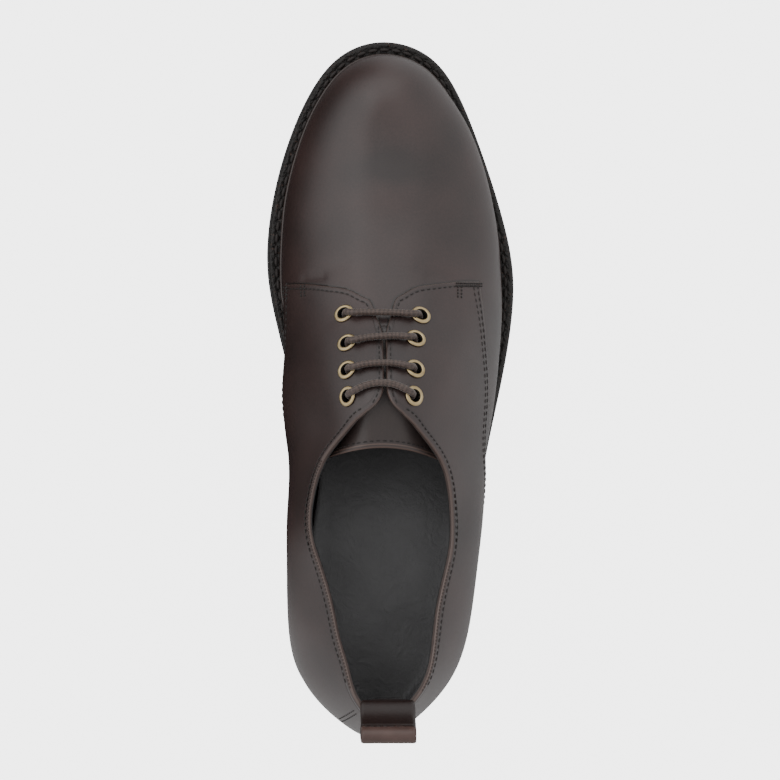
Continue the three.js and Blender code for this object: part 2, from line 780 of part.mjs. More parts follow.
// One bar of the lace: out of one eyelet, over the facings and down into the other
function makeLaceBar(row) {
  const radius = laceWidth / 2;
  const reach = radius + fit;
  const lip = fit + eyeletFlange;
  const inBore = eyeletHole / 2 - reach;
  const y = eyeletY(row);
  const arch = row === eyeletCount - 1 ? lastBarArch : 0;
  // Steps from the bore over the eyelet's lip: distance towards the throat and height over the facing
  const bend = [
    [inBore, -1.3],
    [inBore, lip * 0.4],
    [inBore + reach * 0.25, lip + reach * 0.55],
    [inBore + reach * 0.95, lip + reach * 0.98],
    [eyeletOuter * 0.62, lip + reach + laceLift - 0.2],
  ];
  const end = (side) => {
    const seat = surfaceOver(eyeletX(side, row), y, quarterStep);
    const inward = new THREE.Vector3(-side, 0, 0);
    inward.addScaledVector(seat.normal, -inward.dot(seat.normal)).normalize();
    return bend.map(([along, height]) => (
      seat.point.clone().addScaledVector(inward, along).addScaledVector(seat.normal, height)
    ));
  };
  const over = [-0.35, 0, 0.35].map((share) => {
    const bow = arch * (1 - 2 * share * share);
    const x = THREE.MathUtils.lerp(eyeletX(-1, row), eyeletX(1, row), (1 + share) / 2);
    return surfaceOver(x, y + bow, quarterStep + reach + laceLift).point;
  });
  const points = [...end(-1), ...over, ...end(1).reverse()];
  const path = new THREE.CatmullRomCurve3(points, false, 'centripetal');
  const section = new THREE.Shape();
  section.absarc(0, 0, radius, 0, fullTurn, false);
  return new THREE.ExtrudeGeometry(section, {
    steps: 20,
    curveSegments: 4,
    bevelEnabled: false,
    extrudePath: path,
  });
}

const darkLeather = { color: 0x3b2a26, roughness: 0.36, metalness: 0 };
const blackLeather = { color: 0x1c1b1c, roughness: 0.6, metalness: 0 };
const blackRubber = { color: 0x141312, roughness: 0.55, metalness: 0 };
const brass = { color: 0xb08d4a, roughness: 0.32, metalness: 1 };
const waxedCord = { color: 0x4a3830, roughness: 0.62, metalness: 0 };

function node(name, geometry, finish) {
  const mesh = new THREE.Mesh(geometry, new THREE.MeshStandardMaterial(finish));
  mesh.name = name;
  return mesh;
}

const shoe = new THREE.Group();
shoe.add(node('outsole', makeOutsole(), blackRubber));
shoe.add(node('heel', makeHeel(), blackRubber));
shoe.add(node('welt', makeWelt(), blackRubber));
shoe.add(node('upper', makeUpper(), darkLeather));
shoe.add(node('tongue', makeTongue(), darkLeather));
shoe.add(node('insole', makeInsole(), blackLeather));
shoe.add(node('pull_loop', makePullLoop(), darkLeather));
for (let row = 0; row < eyeletCount; row += 1) {
  shoe.add(node(`eyelet_medial_${row + 1}`, makeEyelet(eyeletX(-1, row), eyeletY(row)), brass));
  shoe.add(node(`eyelet_lateral_${row + 1}`, makeEyelet(eyeletX(1, row), eyeletY(row)), brass));
  shoe.add(node(`lace_bar_${row + 1}`, makeLaceBar(row), waxedCord));
}

// The origin is the middle of the whole shoe, on the floor
const bounds = new THREE.Box3().setFromObject(shoe);
shoe.position.set(-(bounds.min.x + bounds.max.x) / 2, -(bounds.min.y + bounds.max.y) / 2, 0);

export default shoe;
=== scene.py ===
# Plain-toe derby for the right foot: polished brown upper, black welted sole, brass eyelets.
# The shapes are worked out in millimetres on the last's own surface and placed in metres.
import bpy
import bmesh
import numpy as np
from mathutils import Matrix, Vector


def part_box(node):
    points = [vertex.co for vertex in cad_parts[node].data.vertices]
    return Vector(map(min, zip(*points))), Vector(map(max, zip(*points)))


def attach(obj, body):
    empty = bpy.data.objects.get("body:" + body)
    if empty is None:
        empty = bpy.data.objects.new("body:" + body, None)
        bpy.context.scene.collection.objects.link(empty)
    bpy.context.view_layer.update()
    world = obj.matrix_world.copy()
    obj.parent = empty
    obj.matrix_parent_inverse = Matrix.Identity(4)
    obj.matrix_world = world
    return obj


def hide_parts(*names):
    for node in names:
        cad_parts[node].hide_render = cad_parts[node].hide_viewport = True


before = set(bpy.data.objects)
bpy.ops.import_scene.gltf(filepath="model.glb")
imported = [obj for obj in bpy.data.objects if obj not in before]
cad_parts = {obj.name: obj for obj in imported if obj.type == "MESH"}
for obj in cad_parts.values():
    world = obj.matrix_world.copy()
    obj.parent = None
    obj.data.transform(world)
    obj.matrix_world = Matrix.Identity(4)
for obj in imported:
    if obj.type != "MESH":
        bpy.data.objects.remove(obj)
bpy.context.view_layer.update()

mm = 0.001
fullTurn = 2 * np.pi
soleLow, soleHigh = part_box("outsole")
print("frame loaded:", len(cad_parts), "nodes")

# The last

last = {
    "soleLength": (soleHigh.y - soleLow.y) / mm,
    "ballWidth": 99.4,
    "heelHeight": 18.0,
    "heelLength": 72.0,
    "outsoleThick": 8.5,
    "weltThick": 3.5,
    "toeSpring": 8.0,
    "waistStart": 4.0,
    "treadFrom": 172.0,
    "treadTo": 206.0,
    "instepRise": 79.0,
    "collarRise": 66.0,
    "collarTilt": 0.043,
    "quarterTilt": 0.18,
    "wall": 1.5,
    "quarterStep": 1.0,
    "fit": 0.3,
    "ridgeStart": 22.0,
    "ridgeEnd": 250.0,
    "ridgeBlend": 20.0,
    "slotWidth": 0.9,
    "slotEnd": 160.0,
    "slotFlareFrom": 136.5,
    "slotFlare": 0.55,
    "slotFlareLong": 8.0,
    "slotBack": 70.0,
    "throatCorner": 4.0,
    "holeRadius": 3.0,
}
soleLength = last["soleLength"]
ballWidth = last["ballWidth"]

# Shares of the ball width to each side of the centre line, along the sole
soleEdgeRows = [
    (0.000, -0.030, -0.030), (0.028, 0.118, -0.190), (0.095, 0.277, -0.345), (0.190, 0.342, -0.386),
    (0.287, 0.368, -0.376), (0.400, 0.420, -0.330), (0.500, 0.484, -0.366), (0.589, 0.530, -0.426),
    (0.660, 0.540, -0.463), (0.747, 0.496, -0.455), (0.838, 0.414, -0.397), (0.928, 0.308, -0.290),
    (0.973, 0.214, -0.192), (1.000, 0.008, 0.008),
]

# The upper's section along the sole: top line, how far its foot stands in, how far its flank swells
upperNames = ("along", "ridge", "rise", "reachOut", "reachIn", "swellOut", "swellIn", "powerOut", "powerIn")
upperRows = [
    (0.00, -0.004, 1.020, 0.034, 0.034, 0.024, 0.024, 2.10, 2.10),
    (0.10, 0.008, 0.930, 0.034, 0.036, 0.034, 0.037, 1.85, 1.55),
    (0.15, -0.002, 0.800, 0.033, 0.040, 0.038, 0.038, 1.92, 1.85),
    (0.20, -0.002, 0.730, 0.032, 0.050, 0.043, 0.048, 1.90, 2.08),
    (0.27, -0.008, 0.790, 0.032, 0.062, 0.053, 0.065, 1.74, 2.45),
    (0.32, -0.018, 0.880, 0.034, 0.062, 0.060, 0.083, 1.55, 3.20),
    (0.38, -0.024, 0.950, 0.040, 0.056, 0.054, 0.098, 1.52, 3.20),
    (0.43, -0.024, 0.982, 0.048, 0.052, 0.052, 0.107, 1.55, 2.40),
    (0.48, -0.018, 1.000, 0.058, 0.052, 0.047, 0.099, 1.78, 2.45),
    (0.54, -0.014, 0.915, 0.066, 0.060, 0.036, 0.070, 1.95, 2.50),
    (0.61, -0.016, 0.745, 0.072, 0.070, 0.026, 0.036, 2.02, 2.25),
    (0.68, -0.022, 0.615, 0.074, 0.078, 0.022, 0.024, 2.02, 2.12),
    (0.72, -0.025, 0.563, 0.062, 0.077, 0.022, 0.022, 2.06, 2.10),
    (0.77, -0.027, 0.510, 0.048, 0.070, 0.022, 0.020, 2.12, 2.14),
    (0.84, -0.026, 0.436, 0.038, 0.066, 0.022, 0.019, 2.18, 2.18),
    (0.89, -0.022, 0.404, 0.045, 0.064, 0.020, 0.018, 2.20, 2.20),
    (0.93, -0.018, 0.396, 0.060, 0.066, 0.018, 0.017, 2.20, 2.20),
    (1.00, -0.012, 0.390, 0.074, 0.074, 0.016, 0.016, 2.20, 2.20),
]

# Collar edge: share of the length, share of the collar rise above the heel seat
collarRows = [
    (-0.06, 0.900), (0.06, 0.835), (0.11, 0.785), (0.16, 0.720), (0.22, 0.650), (0.28, 0.620), (0.34, 0.650),
    (0.375, 0.700), (0.403, 0.775), (0.422, 0.855), (0.441, 0.940), (0.461, 1.020), (0.478, 1.110),
]

# Front edge of a quarter in plan: how far from the slot, then how far along on the outer and inner side
frontRows = [
    (0.45, 159.0, 159.0), (1.9, 163.6, 163.8), (3.2, 167.4, 167.6), (4.2, 170.8, 170.6), (6.9, 174.2, 173.4),
    (11.5, 176.9, 176.0), (19.0, 178.8, 178.0), (27.0, 180.0, 179.4), (39.5, 180.8, 180.0),
]

# Lower edge of a quarter from its front corner back to the sole: length share, instep share
quarterSideRows = [
    (0.660, 0.318), (0.620, 0.352), (0.520, 0.400), (0.430, 0.345), (0.360, 0.250), (0.300, 0.120),
    (0.240, -0.160),
]


def splineThrough(knots, values):
    knots = np.array(knots, float)
    values = np.array(values, float)
    count = len(knots)
    matrix = np.zeros((count, count))
    right = np.zeros(count)
    matrix[0, 0] = matrix[-1, -1] = 1
    for i in range(1, count - 1):
        before = knots[i] - knots[i - 1]
        after = knots[i + 1] - knots[i]
        matrix[i, i - 1:i + 2] = before, 2 * (before + after), after
        right[i] = 6 * ((values[i + 1] - values[i]) / after - (values[i] - values[i - 1]) / before)
    curve = np.linalg.solve(matrix, right)

    def valueAt(at):
        at = np.asarray(at, float)
        i = np.clip(np.searchsorted(knots, at, side="right") - 1, 0, count - 2)
        span = knots[i + 1] - knots[i]
        b = (at - knots[i]) / span
        a = 1 - b
        bend = ((a**3 - a) * curve[i] + (b**3 - b) * curve[i + 1]) * span * span / 6
        return a * values[i] + b * values[i + 1] + bend
    return valueAt


def column(rows, index):
    ordered = sorted(rows)
    return splineThrough([row[0] for row in ordered], [row[index] for row in ordered])


def smoothStep(value, low, high):
    share = np.clip((np.asarray(value, float) - low) / (high - low), 0, 1)
    return share * share * (3 - 2 * share)


def alongOf(angle):
    return (1 - np.cos(angle)) / 2


def angleOf(along):
    return np.arccos(np.clip(1 - 2 * np.asarray(along, float), -1, 1))


def closedSide(rows):
    outer = [(float(angleOf(row[0])), row[1]) for row in rows]
    inner = [(fullTurn - float(angleOf(row[0])), row[2]) for row in reversed(rows[1:-1])]
    wrapped = [(angle + turn * fullTurn, side) for turn in (-2, -1, 0, 1) for angle, side in outer + inner]
    return splineThrough([pair[0] for pair in wrapped], [pair[1] for pair in wrapped])


soleSide = closedSide(soleEdgeRows)
upperColumn = {name: column(upperRows, i) for i, name in enumerate(upperNames) if i > 0}
collarHeight = column(collarRows, 1)
frontOuter = column(frontRows, 1)
frontInner = column(frontRows, 2)
quarterSide = column(quarterSideRows, 1)


def soleEdge(angle):
    return np.stack([soleSide(angle) * ballWidth, alongOf(angle) * soleLength], -1)


def outwardAt(angle):
    travel = soleEdge(angle + 0.01) - soleEdge(angle - 0.01)
    travel /= np.linalg.norm(travel, axis=-1, keepdims=True)
    return np.stack([travel[..., 1], -travel[..., 0]], -1)


def insetEdge(angle, inset):
    return soleEdge(angle) - outwardAt(angle) * np.asarray(inset, float)[..., None]


def treadHeight(y):
    waist = smoothStep(y, last["heelLength"] + last["waistStart"], last["treadFrom"])
    spring = np.maximum(0, (y - last["treadTo"]) / (soleLength - last["treadTo"])) ** 1.7
    return last["heelHeight"] * (1 - waist) + last["toeSpring"] * spring


def outsoleTop(y):
    return treadHeight(y) + last["outsoleThick"]


def seatHeight(y):
    return outsoleTop(y) + last["fit"] + last["weltThick"]


heelSeat = last["heelHeight"] + last["outsoleThick"] + last["weltThick"] + last["fit"]
foreSeat = last["outsoleThick"] + last["weltThick"] + last["fit"]


def ridgeY(y):
    start, end, soft = last["ridgeStart"], last["ridgeEnd"], last["ridgeBlend"]
    fromHeel = (y + start + np.hypot(y - start, soft)) / 2
    return (fromHeel + end - np.hypot(fromHeel - end, soft)) / 2


def ridgeX(y):
    return upperColumn["ridge"](np.asarray(y, float) / soleLength) * ballWidth


def footReach(angle):
    outer = np.sin(angle) >= 0
    along = alongOf(angle)
    return np.where(outer, upperColumn["reachOut"](along), upperColumn["reachIn"](along)) * ballWidth


def facePoint(angle, climb):
    angle, climb = np.broadcast_arrays(np.asarray(angle, float), np.asarray(climb, float))
    along = alongOf(angle)
    outer = np.sin(angle) >= 0
    swell = np.where(outer, upperColumn["swellOut"](along), upperColumn["swellIn"](along)) * ballWidth
    power = np.where(outer, upperColumn["powerOut"](along), upperColumn["powerIn"](along))
    foot = insetEdge(angle, footReach(angle))
    topY = ridgeY(along * soleLength)
    top = np.stack([ridgeX(topY), topY], -1)
    topZ = seatHeight(topY) + upperColumn["rise"](topY / soleLength) * last["instepRise"]
    turn = np.clip(climb, 0, 1) * np.pi / 2
    inward = 1 - np.maximum(np.cos(turn), 0) ** (2 / power)
    upward = np.maximum(np.sin(turn), 0) ** (2 / power)
    bulge = swell * 9.48 * upward * (1 - upward) ** 3
    place = foot + (top - foot) * inward[..., None] + outwardAt(angle) * bulge[..., None]
    footZ = seatHeight(foot[..., 1]) + last["fit"]
    return np.concatenate([place, (footZ + (topZ - footZ) * upward)[..., None]], -1)


def unit(vectors):
    return vectors / np.maximum(np.linalg.norm(vectors, axis=-1, keepdims=True), 1e-12)


def slopeNormal(angle, climb):
    nudge = 0.02
    high = np.minimum(climb, 1 - 2 * nudge)
    around = facePoint(angle + nudge, high) - facePoint(angle - nudge, high)
    rise = facePoint(angle, high + nudge) - facePoint(angle, np.maximum(0, high - nudge))
    return unit(np.cross(around, rise))


def faceNormal(angle, climb):
    angle, climb = np.broadcast_arrays(np.asarray(angle, float), np.asarray(climb, float))
    normal = slopeNormal(angle, climb)
    shared = smoothStep(climb, 0.88, 1.0)[..., None]  # both sides agree on the top line
    normal = unit(normal + slopeNormal(-angle, climb) * shared)
    normal[..., 2] *= smoothStep(climb, -0.01, 0.05)
    return unit(normal)


def findFace(angle, climb, miss):
    nudge = 0.001
    for turn in range(16):
        here = miss(angle, climb)
        byAngle = miss(angle + nudge, climb)
        byClimb = miss(angle, climb - nudge)
        a = (byAngle[0] - here[0]) / nudge
        b = (here[0] - byClimb[0]) / nudge
        c = (byAngle[1] - here[1]) / nudge
        d = (here[1] - byClimb[1]) / nudge
        spread = a * d - b * c
        spread = np.where(np.abs(spread) < 1e-6, 1e-6, spread)
        angle = angle - np.clip((d * here[0] - b * here[1]) / spread, -0.1, 0.1)
        climb = np.clip(climb - np.clip((a * here[1] - c * here[0]) / spread, -0.1, 0.1), 0.02, 0.999)
    return angle, climb


def overPlan(x, y):
    x, y = np.broadcast_arrays(np.asarray(x, float), np.asarray(y, float))
    start = angleOf(y / soleLength) * np.where(x < ridgeX(y), -1, 1)

    def miss(angle, climb):
        place = facePoint(angle, climb)
        return place[..., 0] - x, place[..., 1] - y
    return findFace(start, np.full_like(x, 0.7), miss)


def heelBack(x, z, offset):
    x, z = np.broadcast_arrays(np.asarray(x, float), np.asarray(z, float))
    middle = soleEdge(np.array(0.0))[0]
    start = (x - middle) / (soleEdge(np.array(0.5))[0] - middle) / 2

    def layer(angle, climb):
        return facePoint(angle, climb) + faceNormal(angle, climb) * offset

    def miss(angle, climb):
        place = layer(angle, climb)
        return place[..., 0] - x, place[..., 2] - z
    return layer(*findFace(start, np.full_like(x, 0.6), miss))


def lifted(angle, climb, offset):
    return facePoint(angle, climb) + faceNormal(angle, climb) * np.asarray(offset, float)[..., None]


# Signed distances from the upper's edges, in millimetres, positive on the leather

def collarGap(place):
    along = np.minimum(place[:, 1] / soleLength, collarRows[-1][0])
    edge = heelSeat + collarHeight(along) * last["collarRise"] - last["collarTilt"] * place[:, 0]
    nudge = 0.005
    climb = (collarHeight(along + nudge) - collarHeight(along - nudge)) / (2 * nudge)
    slope = climb * last["collarRise"] / soleLength
    return (edge - place[:, 2]) / np.hypot(1, slope)


def slotHalf(y):
    below = np.minimum(last["slotFlareFrom"] - y, last["slotFlareLong"])
    return last["slotWidth"] / 2 + last["slotFlare"] * (below + np.hypot(below, 1.5)) / 2


def slotGap(place):
    beyond = np.maximum(0, place[:, 1] - last["slotEnd"])
    below = np.maximum(0, foreSeat + last["instepRise"] * 0.45 - place[:, 2])
    behind = np.maximum(0, last["slotBack"] - place[:, 1])  # the heel's back wall stays whole
    across = np.hypot(np.hypot(place[:, 0] - ridgeX(place[:, 1]), beyond + behind), below)
    return (across - slotHalf(place[:, 1])) * 0.9


# Eyelets listed one by one, each a little off the even row: across and along
eyeletPlans = {
    (-1, 0): (-16.3, 166.9), (-1, 1): (-15.4, 155.3), (-1, 2): (-15.4, 144.9), (-1, 3): (-15.1, 135.0),
    (1, 0): (12.8, 166.2), (1, 1): (10.5, 156.9), (1, 2): (9.8, 145.2), (1, 3): (9.0, 135.1),
}


def eyeletSeat(side, row):
    angle, climb = overPlan(*eyeletPlans[(side, row)])
    return facePoint(angle, climb), faceNormal(angle, climb)


eyeletSeats = {place: eyeletSeat(*place) for place in eyeletPlans}


def openGap(place):
    corner = last["throatCorner"]
    collar, slot = collarGap(place), slotGap(place)
    bite = np.hypot(np.maximum(corner - collar, 0), np.maximum(corner - slot, 0))
    return np.maximum(corner, np.minimum(collar, slot)) - bite


def holeGap(place):
    gap = np.full(len(place), 50.0)
    for seat, normal in eyeletSeats.values():
        radius = np.linalg.norm(np.cross(place - seat, normal), axis=1)
        near = np.abs((place - seat) @ normal) < 8
        gap = np.minimum(gap, np.where(near, radius - last["holeRadius"], 50.0))
    return gap


def frontGap(place):
    out = place[:, 0] - ridgeX(place[:, 1])
    reach = np.clip(np.abs(out), frontRows[0][0], frontRows[-1][0])
    edge = np.where(out > 0, frontOuter(reach), frontInner(reach))
    nudge = 0.05
    ahead = np.where(out > 0, frontOuter(reach + nudge), frontInner(reach + nudge))
    slope = (ahead - edge) / nudge
    return (edge - place[:, 1]) / np.hypot(1, slope)


def sideEdgeHeight(place):
    along = np.clip(place[:, 1] / soleLength, 0.2, 0.66)
    return foreSeat + quarterSide(along) * last["instepRise"] + last["quarterTilt"] * place[:, 0]


def sideGap(place):
    return place[:, 2] - sideEdgeHeight(place)


def quarterGap(place):
    return np.minimum(frontGap(place), sideGap(place))


# Sheets laid on the last: places are (angle, climb) pairs, cut where a distance crosses a level

def denseAngles(rounds):
    fine = np.linspace(-np.pi, np.pi, 4001)
    weight = 1 + 1.8 * np.exp(-((np.abs(fine) - 1.72) / 0.24) ** 2) + 0.9 * np.exp(-(fine / 0.4) ** 2)
    run = np.concatenate([[0], np.cumsum((weight[1:] + weight[:-1]) / 2)])
    angles = np.interp(np.linspace(0, run[-1], rounds + 1), run, fine)
    angles[[0, -1]] = -np.pi, np.pi
    return (angles - angles[::-1]) / 2


def gridSheet(rounds, climbs):
    angles = denseAngles(rounds)
    levels = np.linspace(0, 1, climbs + 1)
    places = np.stack(np.meshgrid(angles, levels, indexing="ij"), -1).reshape(-1, 2)
    faces = []
    for i in range(rounds):
        for j in range(climbs):
            low = i * (climbs + 1) + j
            faces.append([low, low + climbs + 1, low + climbs + 2, low + 1])
    return places, faces


def cutSheet(places, faces, gap, level=0.0, keepBelow=True):
    snap = 0.02
    values = gap(facePoint(places[:, 0], places[:, 1])) - level
    side = np.where(values > snap, 1, np.where(values < -snap, -1, 0)).tolist()
    crossings = {}
    for face in faces:
        for k, a in enumerate(face):
            b = face[k - 1]
            if side[a] * side[b] < 0:
                crossings.setdefault((min(a, b), max(a, b)), len(places) + len(crossings))
    if crossings:
        pairs = np.array(list(crossings))
        low, high = pairs[:, 0], pairs[:, 1]
        share = values[low] / (values[low] - values[high])
        for turn in range(2):
            middle = places[low] + (places[high] - places[low]) * share[:, None]
            miss = gap(facePoint(middle[:, 0], middle[:, 1])) - level
            share = np.clip(share + miss / (values[low] - values[high]), 0.001, 0.999)
        places = np.vstack([places, places[low] + (places[high] - places[low]) * share[:, None]])
    kept = []
    for face in faces:
        kinds = [side[v] for v in face]
        if 1 in kinds and -1 in kinds:
            above, below = [], []
            for k, a in enumerate(face):
                b = face[(k + 1) % len(face)]
                if side[a] >= 0:
                    above.append(a)
                if side[a] <= 0:
                    below.append(a)
                if side[a] * side[b] < 0:
                    middle = crossings[(min(a, b), max(a, b))]
                    above.append(middle)
                    below.append(middle)
            kept.append(above)
            if keepBelow:
                kept.append(below)
        elif keepBelow or -1 not in kinds:
            kept.append(face)
    return places, kept


def weldSheet(places, faces):
    points = facePoint(places[:, 0], places[:, 1])
    seam = np.where((np.abs(np.abs(places[:, 0]) - np.pi) < 1e-9) | (places[:, 1] > 1 - 1e-9))[0]
    target = np.arange(len(places))
    for k, v in enumerate(seam):
        twins = seam[:k][np.linalg.norm(points[seam[:k]] - points[v], axis=1) < 0.004]
        if len(twins):
            target[v] = target[twins[0]]
    used = {}
    welded = []
    for face in faces:
        ring = [target[v] for v in face]
        ring = [v for k, v in enumerate(ring) if v != ring[k - 1]]
        if len(ring) > 2:
            welded.append([used.setdefault(int(v), len(used)) for v in ring])
    return places[list(used)], welded


def closedShell(outer, inner, faces):
    count = len(outer)
    edges = {}
    for face in faces:
        for k, a in enumerate(face):
            edges[(face[k - 1], a)] = True
    rim = [(a, b) for a, b in edges if (b, a) not in edges]
    shell = list(faces)
    shell += [[v + count for v in reversed(face)] for face in faces]
    shell += [[b, a, a + count, b + count] for a, b in rim]
    return np.vstack([outer, inner]), shell, len(faces), len(rim)


# Pieces

edgeShift = np.array([
    soleLow.x / mm - soleEdge(np.arange(72) / 72 * fullTurn)[:, 0].min(),
    soleLow.y / mm,
    0.0,
])


def inMetres(points):
    return (np.asarray(points, float) + edgeShift) * mm


def meshPiece(name, points, faces, materials, groups=None, layers=None):
    mesh = bpy.data.meshes.new(name)
    mesh.from_pydata(inMetres(points).tolist(), [], [list(map(int, face)) for face in faces])
    piece = bpy.data.objects.new(name, mesh)
    bpy.context.scene.collection.objects.link(piece)
    for material in materials:
        mesh.materials.append(material)
    if groups is not None:
        mesh.polygons.foreach_set("material_index", np.array(groups, np.int32))
    for layerName, values in (layers or {}).items():
        layer = mesh.attributes.new(layerName, "FLOAT", "POINT")
        layer.data.foreach_set("value", np.array(values, np.float32))
    mesh.polygons.foreach_set("use_smooth", np.ones(len(mesh.polygons), bool))
    mesh.validate()
    return piece


def settle(piece, slotName, *nodes):
    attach(piece, "root")
    if nodes:
        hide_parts(*nodes)
    return piece


def sweepRings(rings, closed=False):
    count = len(rings[0])
    faces = []
    layers = len(rings) if closed else len(rings) - 1
    for layer in range(layers):
        low = layer * count
        high = ((layer + 1) % len(rings)) * count
        for i in range(count):
            after = (i + 1) % count
            faces.append([low + i, low + after, high + after, high + i])
    return np.vstack(rings), faces


def gridFaces(rows, columns, start=0, flip=False):
    faces = []
    for j in range(rows - 1):
        for i in range(columns - 1):
            a = start + j * columns + i
            face = [a, a + 1, a + columns + 1, a + columns]
            faces.append(face[::-1] if flip else face)
    return faces


# Materials

def nodeTree(tree):
    def add(kind, **values):
        node = tree.nodes.new(kind)
        for key, value in values.items():
            if key.startswith("_"):
                setattr(node, key[1:], value)
            else:
                node.inputs[key.replace("__", " ")].default_value = value
        return node

    def link(source, target):
        tree.links.new(source, target)
    return add, link


def mathNode(add, link, operation, first, second=None, third=None):
    node = add("ShaderNodeMath", _operation=operation)
    for slot, value in enumerate((first, second, third)):
        if value is None:
            continue
        if isinstance(value, (int, float)):
            node.inputs[slot].default_value = value
        else:
            link(value, node.inputs[slot])
    return node.outputs[0]


def blendColour(add, link, amount, first, second):
    node = add("ShaderNodeMix", _data_type="RGBA")
    for socket, value in zip((node.inputs[0], node.inputs[6], node.inputs[7]), (amount, first, second)):
        if isinstance(value, (int, float)):
            socket.default_value = value
        elif isinstance(value, tuple):
            socket.default_value = (*value, 1)
        else:
            link(value, socket)
    return node.outputs[2]


def buildHideGrain():
    tree = bpy.data.node_groups.new("hideGrain", "ShaderNodeTree")
    tree.interface.new_socket("Pore Size", in_out="INPUT", socket_type="NodeSocketFloat").default_value = 0.7
    tree.interface.new_socket("Patch Size", in_out="INPUT", socket_type="NodeSocketFloat").default_value = 26
    tree.interface.new_socket("Height", in_out="OUTPUT", socket_type="NodeSocketFloat")
    tree.interface.new_socket("Patch", in_out="OUTPUT", socket_type="NodeSocketFloat")
    tree.interface.new_socket("Fine", in_out="OUTPUT", socket_type="NodeSocketFloat")
    add, link = nodeTree(tree)
    inputs = add("NodeGroupInput")
    outputs = add("NodeGroupOutput")
    place = add("ShaderNodeTexCoord").outputs["Object"]
    poreScale = mathNode(add, link, "DIVIDE", 1000.0, inputs.outputs["Pore Size"])
    patchScale = mathNode(add, link, "DIVIDE", 1000.0, inputs.outputs["Patch Size"])
    cells = add("ShaderNodeTexVoronoi", _feature="SMOOTH_F1", Smoothness=0.6)
    link(place, cells.inputs["Vector"])
    link(poreScale, cells.inputs["Scale"])
    dust = add("ShaderNodeTexNoise", Detail=3.0, Roughness=0.6)
    link(place, dust.inputs["Vector"])
    link(mathNode(add, link, "MULTIPLY", poreScale, 0.55), dust.inputs["Scale"])
    patch = add("ShaderNodeTexNoise", Detail=2.0, Roughness=0.45)
    link(place, patch.inputs["Vector"])
    link(patchScale, patch.inputs["Scale"])
    height = mathNode(add, link, "MULTIPLY_ADD", cells.outputs["Distance"], 0.6, dust.outputs["Fac"])
    link(height, outputs.inputs["Height"])
    link(patch.outputs["Fac"], outputs.inputs["Patch"])
    link(dust.outputs["Fac"], outputs.inputs["Fine"])
    return tree


hideGrain = buildHideGrain()


def grainNode(add, poreSize, patchSize):
    return add("ShaderNodeGroup", _node_tree=hideGrain, Pore__Size=poreSize, Patch__Size=patchSize)


def startMaterial(name, **settings):
    material = bpy.data.materials.new(name)
    material.use_nodes = True
    tree = material.node_tree
    tree.nodes.clear()
    add, link = nodeTree(tree)
    shader = add("ShaderNodeBsdfPrincipled")
    for key, value in settings.items():
        shader.inputs[key.replace("__", " ")].default_value = value
    link(shader.outputs[0], add("ShaderNodeOutputMaterial").inputs["Surface"])
    return material, add, link, shader


def bumpInto(add, link, shader, height, distance, strength=1.0):
    bump = add("ShaderNodeBump", Strength=strength, Distance=distance)
    link(height, bump.inputs["Height"])
    link(bump.outputs["Normal"], shader.inputs["Normal"])
    return bump


def attribute(add, name):
    return add("ShaderNodeAttribute", _attribute_name=name).outputs["Fac"]


def dip(add, link, distance, centre, halfWidth):
    gap = mathNode(add, link, "SUBTRACT", distance, centre)
    gap = mathNode(add, link, "DIVIDE", gap, halfWidth)
    gap = mathNode(add, link, "MULTIPLY", gap, gap)
    return mathNode(add, link, "POWER", 2.718, mathNode(add, link, "MULTIPLY", gap, -1.0))


leather = {
    "dark": (0.0125, 0.0056, 0.0049),
    "light": (0.035, 0.0175, 0.0155),
    "edge": (0.115, 0.074, 0.060),
    "roughness": 0.42,
    "coat": 0.35,
    "coatRoughness": 0.42,
    # colour of the painted shade in the ditch and stitch grooves
    "paintedCreviceShade": (0.008, 0.006, 0.0055),
    "cloudy": 2.2,
    "speckled": 0.9,
    # how dark the painted reflection on the toe top is
    "paintedReflectionDepth": 0.9,
    "edgeWorn": 0.6,
    "grainDepth": 0.028,
    "pore": 0.55,
    "patch": 34.0,
}


